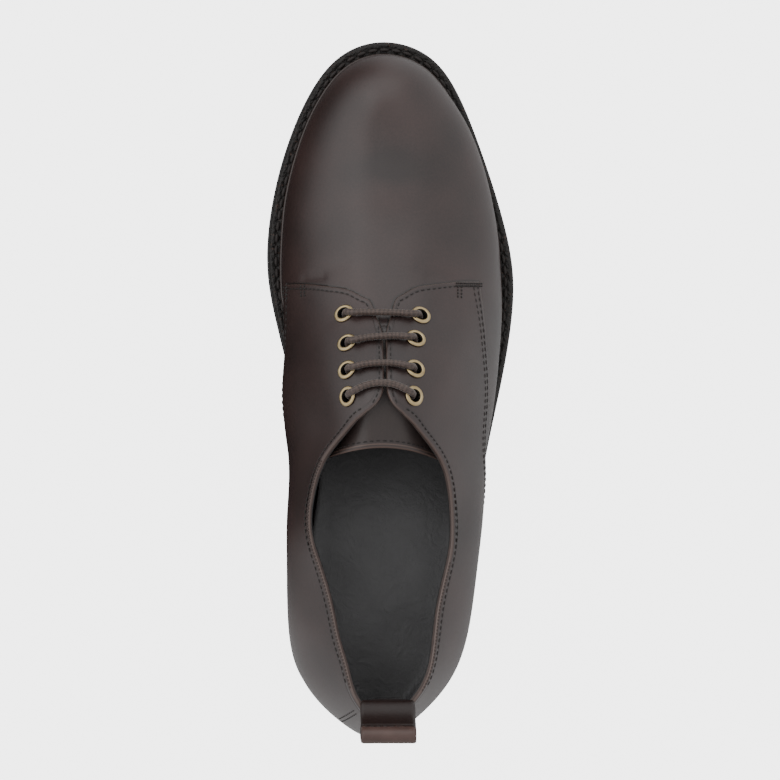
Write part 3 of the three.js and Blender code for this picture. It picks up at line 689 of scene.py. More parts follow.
def makeUpperLeather():
    material, add, link, shader = startMaterial(
        "polishedBrownLeather", Coat__Weight=leather["coat"], Coat__Roughness=leather["coatRoughness"])
    grain = grainNode(add, leather["pore"], leather["patch"])
    quarter = attribute(add, "quarterGap")
    rim = attribute(add, "rimGap")
    ditch = dip(add, link, quarter, -0.30, 0.50)
    stitchLine = dip(add, link, quarter, 1.9, 0.45)
    rimLine = dip(add, link, rim, 2.1, 0.45)
    # Painted reflection: a soft dark patch on the toe top, where the polish would mirror the camera, darkens
    # the base colour.
    paintedToeReflection = attribute(add, "paintedToeReflection")
    patch = mathNode(add, link, "MULTIPLY_ADD", grain.outputs["Patch"], leather["cloudy"], -0.6)
    patch = mathNode(add, link, "SUBTRACT", patch, leather["speckled"] / 2)
    patch = mathNode(add, link, "MULTIPLY_ADD", grain.outputs["Fine"], leather["speckled"], patch)
    paintedToeReflection = mathNode(add, link, "MULTIPLY", paintedToeReflection, leather["paintedReflectionDepth"])
    shade = mathNode(add, link, "SUBTRACT", patch, paintedToeReflection)
    colour = blendColour(add, link, shade, leather["dark"], leather["light"])
    quarterWear = dip(add, link, quarter, 0.16, 0.24)
    edgeWear = mathNode(add, link, "MAXIMUM", quarterWear, dip(add, link, rim, 0.0, 0.5))
    edgeWear = mathNode(add, link, "MULTIPLY", edgeWear, leather["edgeWorn"])
    colour = blendColour(add, link, edgeWear, colour, leather["edge"])
    # Painted shade: the ditch at the quarter's front edge and the stitch grooves along the quarter and collar
    # are darkened in the base colour.
    dark = mathNode(add, link, "MAXIMUM", ditch, mathNode(add, link, "MULTIPLY", stitchLine, 0.45))
    dark = mathNode(add, link, "MAXIMUM", dark, mathNode(add, link, "MULTIPLY", rimLine, 0.45))
    dark = mathNode(add, link, "MULTIPLY", dark, 0.8)
    colour = blendColour(add, link, dark, colour, leather["paintedCreviceShade"])
    link(colour, shader.inputs["Base Color"])
    rough = mathNode(add, link, "MULTIPLY_ADD", grain.outputs["Fine"], 0.10, leather["roughness"] - 0.05)
    link(rough, shader.inputs["Roughness"])
    height = mathNode(add, link, "MULTIPLY", grain.outputs["Height"], leather["grainDepth"])
    for groove, depth in ((stitchLine, -0.16), (rimLine, -0.14), (ditch, -0.10)):
        height = mathNode(add, link, "ADD", height, mathNode(add, link, "MULTIPLY", groove, depth))
    bumpInto(add, link, shader, height, mm)
    return material


def makePlainLeather(name, dark, light, roughness, pore, patch, depth, coat=0.0, wornRim=False):
    material, add, link, shader = startMaterial(name, Coat__Weight=coat, Coat__Roughness=0.25)
    grain = grainNode(add, pore, patch)
    colour = blendColour(add, link, grain.outputs["Patch"], dark, light)
    if wornRim:
        wear = dip(add, link, attribute(add, "rimGap"), 0.2, 0.45)
        wear = mathNode(add, link, "MAXIMUM", wear, dip(add, link, attribute(add, "rimGap"), 1.5, 0.25))
        colour = blendColour(add, link, mathNode(add, link, "MULTIPLY", wear, 0.8), colour, leather["edge"])
    link(colour, shader.inputs["Base Color"])
    rough = mathNode(add, link, "MULTIPLY_ADD", grain.outputs["Fine"], 0.16, roughness - 0.08)
    link(rough, shader.inputs["Roughness"])
    bumpInto(add, link, shader, mathNode(add, link, "MULTIPLY", grain.outputs["Height"], depth), mm)
    return material


upperLeather = makeUpperLeather()
plainLeathers = {
    "loopLeather": {
        "dark": (0.010, 0.0048, 0.0042), "light": (0.020, 0.0105, 0.009),
        "roughness": 0.34, "pore": 0.55, "patch": 16, "depth": 0.014, "coat": 0.15,
    },
    "wornLeather": {
        "dark": (0.040, 0.019, 0.015), "light": (0.095, 0.055, 0.046),
        "roughness": 0.46, "pore": 0.45, "patch": 6, "depth": 0.03,
    },
    "trimLeather": {
        "dark": (0.021, 0.012, 0.0105), "light": (0.046, 0.031, 0.027),
        "roughness": 0.36, "pore": 0.55, "patch": 24, "depth": 0.014, "coat": 0.2,
    },
    "cutLeatherEdge": {
        "dark": (0.022, 0.013, 0.011), "light": (0.070, 0.045, 0.038),
        "roughness": 0.66, "pore": 0.35, "patch": 3, "depth": 0.06,
    },
    "tongueLeather": {
        "dark": (0.020, 0.012, 0.011), "light": (0.040, 0.027, 0.024),
        "roughness": 0.5, "pore": 0.55, "patch": 18, "depth": 0.014, "coat": 0.1, "wornRim": True,
    },
    "blackLining": {
        "dark": (0.010, 0.010, 0.0105), "light": (0.019, 0.019, 0.020),
        "roughness": 0.60, "pore": 0.75, "patch": 20, "depth": 0.03,
    },
}
loopLeather = makePlainLeather("loopLeather", **plainLeathers["loopLeather"])
wornLeather = makePlainLeather("wornLeather", **plainLeathers["wornLeather"])
trimLeather = makePlainLeather("trimLeather", **plainLeathers["trimLeather"])
cutEdge = makePlainLeather("cutLeatherEdge", **plainLeathers["cutLeatherEdge"])
tongueLeather = makePlainLeather("tongueLeather", **plainLeathers["tongueLeather"])
liningLeather = makePlainLeather("blackLining", **plainLeathers["blackLining"])
print("materials ready")

# Upper

upper = {
    "rounds": 440,
    "climbs": 92,
    "edgeRound": 0.45,
    "rimRound": 0.75,
    "bottomDrop": 1.2,
}

# Soft troughs and ridges: plan ends, half width and depth in millimetres (a ridge has a negative depth)
creases = [
    ((-31.5, 182.0), (-25.0, 182.6), 1.8, 0.55),
    ((17.5, 182.6), (24.5, 181.9), 1.8, 0.60),
    ((-27.0, 184.0), (-17.0, 187.5), 3.0, 0.22),
    ((14.0, 185.5), (22.0, 184.0), 3.0, 0.25),
    ((-22.0, 203.0), (18.0, 206.0), 9.0, 0.25),
    ((-26.0, 192.0), (24.0, 193.0), 8.0, -0.18),
    ((22.0, 168.0), (33.0, 176.0), 4.0, 0.35),
    ((-22.0, 165.0), (-31.0, 173.0), 4.0, 0.30),
    ((20.0, 128.0), (34.0, 152.0), 7.0, 0.30),
    ((-24.0, 126.0), (-35.0, 150.0), 7.0, 0.30),
    ((28.0, 84.0), (36.0, 112.0), 6.0, 0.35),
    ((-31.0, 82.0), (-36.0, 112.0), 6.0, 0.35),
]


def creaseOffset(place):
    offset = np.zeros(len(place))
    for start, end, halfWidth, depth in creases:
        start, end = np.array(start), np.array(end)
        run = end - start
        share = np.clip((place[:, :2] - start) @ run / (run @ run), 0, 1)
        gap = np.linalg.norm(place[:, :2] - start - share[:, None] * run, axis=1) / halfWidth
        offset -= depth * np.exp(-gap * gap)
    return offset


def roundedEdge(gap, radius):
    share = np.clip(1 - gap / radius, 0, 1)
    return 1 - np.sqrt(np.maximum(0, 1 - share * share))


def upperSheet():
    places, faces = gridSheet(upper["rounds"], upper["climbs"])
    for gap in (openGap, holeGap):
        places, faces = cutSheet(places, faces, gap, keepBelow=False)
    for gap, levels in ((openGap, (0.12, 0.35, 0.75)), (quarterGap, (-0.04, 0.04, 0.18, 0.45, 1.2))):
        for level in levels:
            places, faces = cutSheet(places, faces, gap, level)
    return weldSheet(places, faces)


def makeUpper():
    places, faces = upperSheet()
    face = facePoint(places[:, 0], places[:, 1])
    normal = faceNormal(places[:, 0], places[:, 1])
    quarter = quarterGap(face)
    rim = openGap(face)
    step = np.where(quarter > 0, 0.5 + 0.5 * (1 - roundedEdge(quarter, upper["edgeRound"])), 0)
    foot = smoothStep(places[:, 1], 0.0, 0.05)
    outside = last["quarterStep"] * step * foot + creaseOffset(face)
    outside -= 0.9 * roundedEdge(rim, upper["rimRound"])
    inside = -last["wall"] + 0.7 * roundedEdge(rim, upper["rimRound"])
    outer = face + normal * outside[:, None]
    inner = face + normal * inside[:, None]
    bottom = places[:, 1] < 1e-9
    outer[bottom, 2] -= upper["bottomDrop"]
    inner[bottom, 2] -= upper["bottomDrop"]
    points, shell, skinCount, rimCount = closedShell(outer, inner, faces)
    groups = [0] * skinCount + [1] * skinCount + [2] * rimCount
    # Painted reflection: a soft dark patch on the toe top, where the polish would mirror the camera.
    toeReflectionPatch = np.exp(-(((face[:, 0] - 2.5) / 17) ** 2 + ((face[:, 1] - 226) / 8) ** 2))
    layers = {
        "quarterGap": np.tile(quarter, 2), "rimGap": np.tile(rim, 2), "paintedToeReflection": np.tile(toeReflectionPatch, 2),
    }
    piece = meshPiece("upperShell", points, shell, [upperLeather, liningLeather, cutEdge], groups, layers)
    return settle(piece, "upper_leather", "upper")


upperShell = makeUpper()
print("upper:", len(upperShell.data.polygons), "faces")

# Sole

sole = {
    "rounds": 480,
    "weltSetback": 0.7,
    "welt": [  # inset from the edge, height over the welt's underside, as it runs from outside to inside
        (0.9, 0.05), (0.35, 0.5), (0.25, 1.6), (0.35, 2.8), (0.9, 3.42), (1.5, 3.5), (2.3, 3.42),
        (2.7, 3.05), (3.3, 2.95),
    ],
    "beadPlace": 4.8,  # the least inset of the bead between welt and upper, whose section follows
    "bead": [(-0.95, 3.0), (-0.85, 3.8), (-0.45, 4.3), (0.05, 4.25), (0.5, 3.6), (1.9, 3.0), (1.9, 0.05)],
}
rubber = {"dark": (0.0065, 0.0062, 0.0062), "light": (0.016, 0.0155, 0.0152), "roughness": 0.52}


def makeRubber():
    material, add, link, shader = startMaterial("blackSoleRubber")
    grain = grainNode(add, 0.9, 12)
    colour = blendColour(add, link, grain.outputs["Patch"], rubber["dark"], rubber["light"])
    link(colour, shader.inputs["Base Color"])
    rough = mathNode(add, link, "MULTIPLY_ADD", grain.outputs["Fine"], 0.2, rubber["roughness"] - 0.1)
    link(rough, shader.inputs["Roughness"])
    bumpInto(add, link, shader, mathNode(add, link, "MULTIPLY", grain.outputs["Height"], 0.05), mm)
    return material


def makeWeltLeather():
    material, add, link, shader = startMaterial("blackWelt")
    grain = grainNode(add, 1.1, 7)
    speck = add("ShaderNodeTexNoise", Scale=620.0, Detail=2.0, Roughness=0.7)
    link(add("ShaderNodeTexCoord").outputs["Object"], speck.inputs["Vector"])
    rust = mathNode(add, link, "GREATER_THAN", speck.outputs["Fac"], 0.64)
    colour = blendColour(add, link, grain.outputs["Fine"], (0.003, 0.0027, 0.0026), (0.030, 0.0265, 0.025))
    colour = blendColour(add, link, mathNode(add, link, "MULTIPLY", rust, 0.5), colour, (0.085, 0.045, 0.032))
    link(colour, shader.inputs["Base Color"])
    rough = mathNode(add, link, "MULTIPLY_ADD", grain.outputs["Fine"], 0.3, 0.35)
    link(rough, shader.inputs["Roughness"])
    shader.inputs["Specular IOR Level"].default_value = 0.3
    bumpInto(add, link, shader, mathNode(add, link, "MULTIPLY", grain.outputs["Height"], 0.8), mm)
    return material


soleRubber = makeRubber()
weltLeather = makeWeltLeather()


def roundAngles():
    return np.arange(sole["rounds"]) / sole["rounds"] * fullTurn


def outlineRing(inset, heightAt):
    angles = roundAngles()
    edge = insetEdge(angles, np.broadcast_to(inset(angles) if callable(inset) else inset, angles.shape))
    return np.column_stack([edge, heightAt(edge[:, 1])])


def capRing(points, faces, ring, layers, heightAt, flip):
    count = len(ring)
    mirror = (count - np.arange(count)) % count
    centre = (ring + ring[mirror]) / 2
    rings = [ring]
    for k in range(1, layers + 1):
        share = k / layers
        place = ring + (centre - ring) * share
        place[:, 2] = heightAt(place[:, 1], share)
        rings.append(place)
    start = len(points) - count
    points = np.vstack([points] + rings[1:])
    for k in range(layers):
        low = start if k == 0 else start + k * count
        for i in range(count):
            after = (i + 1) % count
            face = [low + i, low + after, low + count + after, low + count + i]
            faces.append(face[::-1] if flip else face)
    return points, faces


def mergeDoubles(piece, distance=0.00001):
    work = bmesh.new()
    work.from_mesh(piece.data)
    bmesh.ops.remove_doubles(work, verts=work.verts, dist=distance)
    bmesh.ops.dissolve_degenerate(work, edges=work.edges, dist=0.000001)
    bmesh.ops.recalc_face_normals(work, faces=work.faces)
    work.to_mesh(piece.data)
    work.free()
    return piece


def makeOutsole():
    thick = last["outsoleThick"]
    profile = [(1.6, 0.0), (0.5, 0.35), (0.05, 1.1), (0.0, 2.6), (0.0, thick - 2.6), (0.10, thick - 1.6)]
    profile += [(0.9, thick - 1.35), (0.9, thick - 0.95), (0.15, thick - 0.7), (0.35, thick - 0.15)]
    profile += [(1.1, thick)]
    rings = [outlineRing(inset, lambda y, up=up: treadHeight(y) + up) for inset, up in profile]
    points, faces = sweepRings(rings)
    points, faces = capRing(points, faces, rings[-1], 4, lambda y, share: outsoleTop(y), False)
    bottomPoints, bottomFaces = capRing(
        rings[0].copy(), [], rings[0], 14, lambda y, share: treadHeight(y), True)
    faces += [[v + len(points) for v in face] for face in bottomFaces]
    points = np.vstack([points, bottomPoints])
    piece = mergeDoubles(meshPiece("outsoleSlab", points, faces, [soleRubber]))
    return settle(piece, "rubber_sole", "outsole")


def makeHeel():
    top = last["heelHeight"] - last["fit"]
    reach = float(angleOf(last["heelLength"] / soleLength))
    side = 90
    bow = 40

    def ring(inset, height):
        angles = np.linspace(-reach, reach, 2 * side + 1)
        edge = insetEdge(angles, np.full(len(angles), inset))
        edge[:, 1] = np.minimum(edge[:, 1], last["heelLength"] - inset)
        share = np.arange(1, bow) / bow
        front = edge[-1] + (edge[0] - edge[-1]) * share[:, None]
        front[:, 1] -= 16 * share * (1 - share)
        outline = np.vstack([edge, front])
        return np.column_stack([outline, np.full(len(outline), height)])
    levels = [(3.3, 0.0), (2.6, 0.25), (2.35, 0.8), (2.0, 5.2), (2.25, 5.5), (2.25, 5.7), (1.95, 5.95)]
    levels += [(0.75, top - 1.4), (0.5, top - 0.8), (0.9, top - 0.05), (1.4, top)]
    rings = [ring(inset, up) for inset, up in levels]
    points, faces = sweepRings(rings)
    for outline, flip in ((rings[0], True), (rings[-1], False)):
        centre = np.array([ridgeX(36.0), 36.0, outline[0, 2]])
        for share in (0.35, 0.7):
            inner = outline + (centre - outline) * share
            inner[:, 2] = outline[0, 2]
            start = len(points)
            wallStart = 0 if flip else (len(rings) - 1) * len(outline)
            outerStart = start - len(outline) if share > 0.5 else wallStart
            points = np.vstack([points, inner])
            for i in range(len(outline)):
                after = (i + 1) % len(outline)
                face = [outerStart + i, outerStart + after, start + after, start + i]
                faces.append(face[::-1] if flip else face)
        cap = list(range(len(points) - len(outline), len(points)))
        faces.append(cap[::-1] if flip else cap)
    return settle(mergeDoubles(meshPiece("heelBlock", points, faces, [soleRubber])), "rubber_sole", "heel")


def weltBase(y):
    return outsoleTop(y) + last["fit"]


def beadReach(angles):
    # Where the upper's flank ends when seen from above
    foot = insetEdge(angles, footReach(angles))
    flank = facePoint(angles, np.linspace(0, 0.3, 13)[:, None])[..., :2] - foot
    swollen = (flank * outwardAt(angles)).sum(-1).max(0)
    return np.maximum(footReach(angles) - swollen, sole["beadPlace"])


def makeWelt():
    def level(up):
        return lambda y: weltBase(y) + up

    def beadInset(inset):
        return lambda angles: beadReach(angles) + inset
    setback = sole["weltSetback"] - 0.25
    rings = [outlineRing(setback + inset, level(up)) for inset, up in sole["welt"]]
    rings += [outlineRing(beadInset(inset), level(up)) for inset, up in sole["bead"]]
    points, faces = sweepRings(rings, closed=True)
    onBead = [int(len(sole["welt"]) <= k < len(rings) - 3) for k in range(len(rings))]
    groups = np.repeat(onBead, sole["rounds"])
    piece = mergeDoubles(meshPiece("weltStrip", points, faces, [weltLeather, trimLeather], groups))
    return settle(piece, "welt", "welt")


makeOutsole()
makeHeel()
makeWelt()
print("sole done")

# Footbed

footbed = {"rise": 2.2, "rings": 26, "cup": 2.4}


def makeFootbed():
    def inset(angles):
        return footReach(angles) + last["wall"] + 2 * last["fit"] + 0.1

    def top(y, share):
        edge = np.exp(-((share * 8) ** 1.6))
        heel = 1 - smoothStep(y, 20, 120)
        return seatHeight(y) + footbed["rise"] - 0.2 + footbed["cup"] * edge * heel - 0.6 * share * heel
    rings = [outlineRing(inset, weltBase), outlineRing(inset, lambda y: top(y, 0.0) - 0.5)]
    rings += [outlineRing(lambda a: inset(a) + 0.5, lambda y: top(y, 0.0))]
    points, faces = sweepRings(rings)
    points, faces = capRing(points, faces, rings[-1], footbed["rings"], top, False)
    bottomPoints, bottomFaces = capRing(rings[0].copy(), [], rings[0], 3, lambda y, share: weltBase(y), True)
    faces += [[v + len(points) for v in face] for face in bottomFaces]
    points = np.vstack([points, bottomPoints])
    return settle(mergeDoubles(meshPiece("footbedPad", points, faces, [footbedLeather])), "lining", "insole")


def makeFootbedLeather():
    material, add, link, shader = startMaterial("footbedLeather")
    grain = grainNode(add, 0.8, 22)
    wrinkle = add("ShaderNodeTexNoise", Scale=95.0, Detail=4.0, Roughness=0.62, Distortion=1.1)
    link(add("ShaderNodeTexCoord").outputs["Object"], wrinkle.inputs["Vector"])
    colour = blendColour(add, link, grain.outputs["Patch"], (0.055, 0.0545, 0.056), (0.125, 0.124, 0.127))
    link(colour, shader.inputs["Base Color"])
    rough = mathNode(add, link, "MULTIPLY_ADD", grain.outputs["Fine"], 0.22, 0.40)
    link(rough, shader.inputs["Roughness"])
    fold = mathNode(add, link, "ABSOLUTE", mathNode(add, link, "SUBTRACT", wrinkle.outputs["Fac"], 0.5))
    height = mathNode(add, link, "MULTIPLY", fold, 0.8)
    height = mathNode(add, link, "MULTIPLY_ADD", grain.outputs["Height"], 0.07, height)
    bumpInto(add, link, shader, height, mm, 0.8)
    return material


footbedLeather = makeFootbedLeather()
makeFootbed()
print("footbed done")

# Tongue

tongue = {
    "thick": 2.0,
    "width": 47.0,
    "top": 115.4,
    "tuck": 180.0,
    "sink": 6.0,
    "sweep": 5.4,
    "across": 60,
    "down": 60,
}


def tonguePoint(share, side, depth):
    y = tongue["tuck"] + (tongue["top"] - tongue["tuck"]) * share
    free = smoothStep(-y, -151, -tongue["top"])
    half = tongue["width"] * (0.34 + 0.16 * share)
    x = ridgeX(y) + half * side
    angle, climb = overPlan(x, y - tongue["sweep"] * side * side * free)
    normal = faceNormal(angle, climb)
    place = facePoint(angle, climb)
    drop = (last["wall"] + 2 * last["fit"] + depth) / normal[..., 2] + tongue["sink"] * free
    place[..., 2] -= drop + 3.2 * free * np.exp(-((x - ridgeX(y)) / 7.5) ** 2)
    return place


def makeTongue():
    rows, columns = tongue["down"] + 1, tongue["across"] + 1
    share, side = np.meshgrid(np.linspace(0, 1, rows), np.linspace(-1, 1, columns), indexing="ij")
    rim = np.minimum((1 - np.abs(side)) * tongue["width"] / 2, (1 - share) * (tongue["tuck"] - tongue["top"]))
    bevel = 0.6 * roundedEdge(rim, 0.9)
    outer = tonguePoint(share, side, bevel).reshape(-1, 3)
    inner = tonguePoint(share, side, tongue["thick"] - bevel).reshape(-1, 3)
    faces = gridFaces(rows, columns, flip=True)
    points, shell, skinCount, rimCount = closedShell(outer, inner, faces)
    middle = outer.reshape(rows, columns, 3)[:, columns // 2]
    length = np.linalg.norm(np.diff(middle, axis=0), axis=1).sum()
    print("tongue sheet", tongue["width"], "x", round(length), "mm")
    groups = [0] * skinCount + [1] * skinCount + [2] * rimCount
    layers = {"rimGap": np.tile(rim.reshape(-1), 2)}
    piece = meshPiece("tongueSheet", points, shell, [tongueLeather, liningLeather, cutEdge], groups, layers)
    return settle(piece, "upper_leather", "tongue")


makeTongue()
print("tongue done")

# Pull loop

loop = {
    "width": 21.0, "thick": 1.7, "height": 17.0, "lean": 4.0, "grip": 15.0, "tuck": 6.0, "eye": 2.4,
    "innerWrap": 0.5, "outerWrap": 0.86, "midRise": 0.45, "bendRise": 0.88, "seam": 0.80,
    "columns": 25, "steps": 90,
}
collarBackZ = heelSeat + float(collarHeight(0.045)) * last["collarRise"]


def smoothPath(points, count):
    points = np.array(points)
    knots = np.concatenate([[0], np.cumsum(np.sqrt(np.linalg.norm(np.diff(points, axis=0), axis=1)))])
    fine = np.linspace(0, knots[-1], count * 4)
    dense = np.column_stack([splineThrough(knots, points[:, k])(fine) for k in range(3)])
    run = np.concatenate([[0], np.cumsum(np.linalg.norm(np.diff(dense, axis=0), axis=1))])
    even = np.linspace(0, run[-1], count)
    return np.column_stack([np.interp(even, run, dense[:, k]) for k in range(3)])


def loopFront():
    middleX = float(ridgeX(0.0))
    inside = last["wall"] + last["fit"] + loop["thick"] / 2
    sides = np.array([-0.5, -0.5, 0.5, 0.5]) * loop["width"] * loop["innerWrap"]
    heights = np.array([-1, 0, -1, 0]) * loop["tuck"]
    return float(heelBack(middleX + sides, collarBackZ + heights, -inside)[:, 1].max())


frontY = loopFront()


def loopLine(share):
    middleX = float(ridgeX(0.0))
    outside = last["quarterStep"] + 1.5 * last["fit"] + loop["thick"] / 2
    half = (loop["eye"] + loop["thick"]) / 2
    foldY = heelBack(middleX, collarBackZ, (last["quarterStep"] - last["wall"]) / 2)[1] - loop["lean"]
    x = middleX + share * loop["width"]
    outerX = middleX + share * loop["width"] * loop["outerWrap"]

    def innerPoint(up, width):
        return np.array([middleX + share * loop["width"] * width, frontY, collarBackZ + loop["tuck"] * up])
    inner = [innerPoint(-1, loop["innerWrap"]), innerPoint(-0.5, 0.6)]
    inner += [innerPoint(0.1, 0.86), innerPoint(0.4, 0.97)]
    outer = [heelBack(outerX, collarBackZ + loop["grip"] * up, outside) for up in (0.17, 0, -0.5, -1)]

    def free(rise, side, legY):
        spread = 1 - rise / loop["bendRise"]
        y = foldY + side * half + (legY - foldY - side * half) * spread
        return np.array([x, y, collarBackZ + loop["height"] * rise])
    top = [free(loop["midRise"], 1, frontY), free(loop["bendRise"], 1, frontY)]
    top += [np.array([x, foldY, collarBackZ + loop["height"]])]
    top += [free(loop["bendRise"], -1, outer[0][1]), free(loop["midRise"], -1, outer[0][1])]
    return smoothPath(inner + top + outer, loop["steps"])


def makeLoop():
    shares = np.linspace(-0.5, 0.5, loop["columns"])
    lines = np.stack([loopLine(share) for share in shares], 1)
    strap = np.linalg.norm(np.diff(lines[:, loop["columns"] // 2], axis=0), axis=1).sum()
    print("loop strap", loop["width"], "x", round(strap), "mm")
    travel = np.gradient(lines, axis=0)
    across = np.gradient(lines, axis=1)
    normal = unit(np.cross(travel, across))
    facesOut = normal[5, loop["columns"] // 2, 1] > 0  # on the inner leg, away from the heel's wall
    rim = (0.5 - np.abs(shares)) * loop["width"]
    bevel = (0.35 * roundedEdge(rim, 0.8))[None, :, None]
    # The free part: a groove along the stitches, then a fuller roll at the fold
    top = (lines[..., 2] - collarBackZ) / loop["height"]
    back = np.linspace(0, 1, loop["steps"])[:, None] > 0.5
    roll = np.exp(-((top - 1.0) / 0.16) ** 2) * 0.55
    groove = np.exp(-((top - loop["seam"]) / 0.035) ** 2) * 0.45 * ~back
    full = (roll - groove)[..., None]
    outer = (lines + normal * (loop["thick"] / 2 - bevel + np.where(facesOut, full, 0))).reshape(-1, 3)
    inner = (lines - normal * (loop["thick"] / 2 - bevel + np.where(facesOut, 0, full))).reshape(-1, 3)
    faces = gridFaces(loop["steps"], loop["columns"], flip=True)
    points, shell, skinCount, rimCount = closedShell(outer, inner, faces)
    height = (points[:, 2] - collarBackZ) / loop["height"]
    worn = [int(np.mean(height[face]) > loop["seam"] + 0.02) for face in shell[:2 * skinCount]]
    piece = meshPiece("pullLoop", points, shell, [loopLeather, wornLeather, cutEdge], worn + [2] * rimCount)
    settle(mergeDoubles(piece), "upper_leather", "pull_loop")
    row = np.argmin(np.abs(top[:loop["steps"] // 2, loop["columns"] // 2] - loop["seam"]))
    side = 1 if facesOut else -1
    return lines[row, 2:-2] + side * normal[row, 2:-2] * (loop["thick"] / 2 - 0.25)


loopSeam = makeLoop()
print("pull loop done")

# Eyelets and lace

eyelet = {"outer": 4.0, "hole": 2.4, "flange": 0.8, "barrel": 0.5, "segments": 48}
lace = {"radius": 1.3, "lift": 0.2, "arches": (0.2, 1.2, 2.1, 5.0), "sides": 14, "ply": 3.2}


def makeBrass():
    material, add, link, shader = startMaterial("agedBrass", Metallic=1.0)
    grain = grainNode(add, 0.6, 3)
    colour = blendColour(add, link, grain.outputs["Patch"], (0.30, 0.215, 0.105), (0.62, 0.50, 0.29))
    link(colour, shader.inputs["Base Color"])
    rough = mathNode(add, link, "MULTIPLY_ADD", grain.outputs["Fine"], 0.25, 0.22)
    link(rough, shader.inputs["Roughness"])
    bumpInto(add, link, shader, mathNode(add, link, "MULTIPLY", grain.outputs["Height"], 0.02), mm)
    return material


def makeLaceCord():
    material, add, link, shader = startMaterial("waxedBraid", Sheen__Weight=0.25, Sheen__Roughness=0.4)
    grain = grainNode(add, 0.32, 5)
    # Painted shade: the cord is lighter on the braid's ridges and darker in its grooves. The fine noise adds
    # real light specks in the wax.
    speck = mathNode(add, link, "MULTIPLY_ADD", grain.outputs["Fine"], 1.1, -0.55)
    speck = mathNode(add, link, "ADD", attribute(add, "paintedBraidShade"), speck)
    colour = blendColour(add, link, speck, (0.016, 0.0095, 0.0078), (0.120, 0.080, 0.066))
    link(colour, shader.inputs["Base Color"])
    rough = mathNode(add, link, "MULTIPLY_ADD", grain.outputs["Fine"], 0.2, 0.42)
    link(rough, shader.inputs["Roughness"])
    bumpInto(add, link, shader, mathNode(add, link, "MULTIPLY", grain.outputs["Height"], 0.05), mm)
    return material


agedBrass = makeBrass()
# Painted shade: a near-black material for the inside of each eyelet's hole and its inner lip, standing in for
# brass in shade.
eyeletHoleShade = makePlainLeather("eyeletHoleShade", (0.006, 0.005, 0.004), (0.016, 0.012, 0.008), 0.5, 0.4, 3, 0.01)
waxedBraid = makeLaceCord()


def standOn(normal):
    side = unit(np.cross(np.array([0.0, 1.0, 0.0]), normal))
    return np.column_stack([side, np.cross(normal, side), normal])


def makeEyelet(side, row):
    seat, normal = eyeletSeats[(side, row)]
    hole, rim = eyelet["hole"], eyelet["outer"]
    base, top = last["fit"] * 0.5, eyelet["flange"] + last["fit"] * 0.5
    depth = -last["wall"] - last["quarterStep"]
    barrel = hole + eyelet["barrel"]
    profile = [(hole, depth), (barrel, depth), (barrel, base), (rim - 0.25, base)]
    profile += [(rim, base + 0.12), (rim - 0.05, base + 0.34), (rim - 0.4, top - 0.08), (rim - 0.8, top)]
    profile += [(hole + 0.45, top - 0.02), (hole + 0.15, top - 0.15), (hole, top - 0.45)]
    turns = np.arange(eyelet["segments"]) / eyelet["segments"] * fullTurn
    circle = np.column_stack([np.cos(turns), np.sin(turns)])
    rings = [np.column_stack([circle * r, np.full(len(turns), z)]) for r, z in profile]
    points, faces = sweepRings(rings, closed=True)
    points = points @ standOn(normal).T + seat + normal * last["quarterStep"]
    name = f"{'lateral' if side > 0 else 'medial'}_{row + 1}"
    # The barrel and the lip turning into the hole take the painted shade material; the flange is brass.
    groups = np.repeat([0 if 2 < k < len(profile) - 2 else 1 for k in range(len(profile))], len(turns))
    piece = mergeDoubles(meshPiece(f"eyeletRing_{name}", points, faces, [agedBrass, eyeletHoleShade], groups))
    return settle(piece, "brass", f"eyelet_{name}")


for seatSide, seatRow in eyeletSeats:
    makeEyelet(seatSide, seatRow)
print("eyelets done")


def overFace(plan, height):
    angle, climb = overPlan(plan[:, 0], plan[:, 1])
    place = facePoint(angle, climb)
    place[:, 2] += height / np.maximum(faceNormal(angle, climb)[:, 2], 0.6)
    return place


def laceRoute():
    radius = lace["radius"]
    reach = radius + last["fit"]
    top = last["quarterStep"] + eyelet["flange"] + last["fit"] * 0.5

    def hole(side, row, depth):
        seat, normal = eyeletSeats[(side, row)]
        return seat + normal * (top - depth)

    def bar(row, start):
        low, high = hole(start, row, 0), hole(-start, row, 0)
        shares = np.array([0.035, 0.11, 0.25, 0.5, 0.75, 0.89, 0.965])
        plan = low[:2] + (high - low)[:2] * shares[:, None]
        plan[:, 1] += lace["arches"][row] * 4 * shares * (1 - shares)
        middle = last["quarterStep"] + reach + lace["lift"]
        ends = [top - 0.5, top + 0.8 * reach]
        over = overFace(plan, np.array(ends + [middle, middle, middle] + ends[::-1]))
        into = [hole(start, row, 5.2), hole(start, row, 2.6)]
        return into + list(over) + [hole(-start, row, 2.6), hole(-start, row, 5.2)]

    def under(side, row, shift):
        low, high = eyeletPlans[(side, int(row))], eyeletPlans[(side, min(int(row) + 1, 3))]
        part = row - int(row)
        x = low[0] + (high[0] - low[0]) * part + shift
        y = low[1] + (high[1] - low[1]) * part
        angle, climb = overPlan(x, y)
        return facePoint(angle, climb) - faceNormal(angle, climb) * (last["wall"] + radius + 0.2)
    route = [under(1, 2.4, -3.0), under(1, 1.6, -2.6)]
    route += bar(1, 1) + [under(-1, 0.5, 0)]
    route += bar(0, -1) + [under(1, 0.6, 1.6), under(1, 1.4, 2.0)]
    route += bar(2, 1) + [under(-1, 2.5, 0)]
    route += bar(3, -1)
    return smoothPath(route, 900)


def tubeRings(path, radiusAt, sides):
    travel = unit(np.gradient(path, axis=0))
    side = unit(np.cross(travel[0], [0.0, 0.0, 1.0]))
    rings = []
    turns = np.arange(sides) / sides * fullTurn
    for k, point in enumerate(path):
        side = unit(side - travel[k] * (side @ travel[k]))
        other = np.cross(travel[k], side)
        spokes = np.cos(turns)[:, None] * side + np.sin(turns)[:, None] * other
        rings.append(point + radiusAt(k, turns)[:, None] * spokes)
    return rings


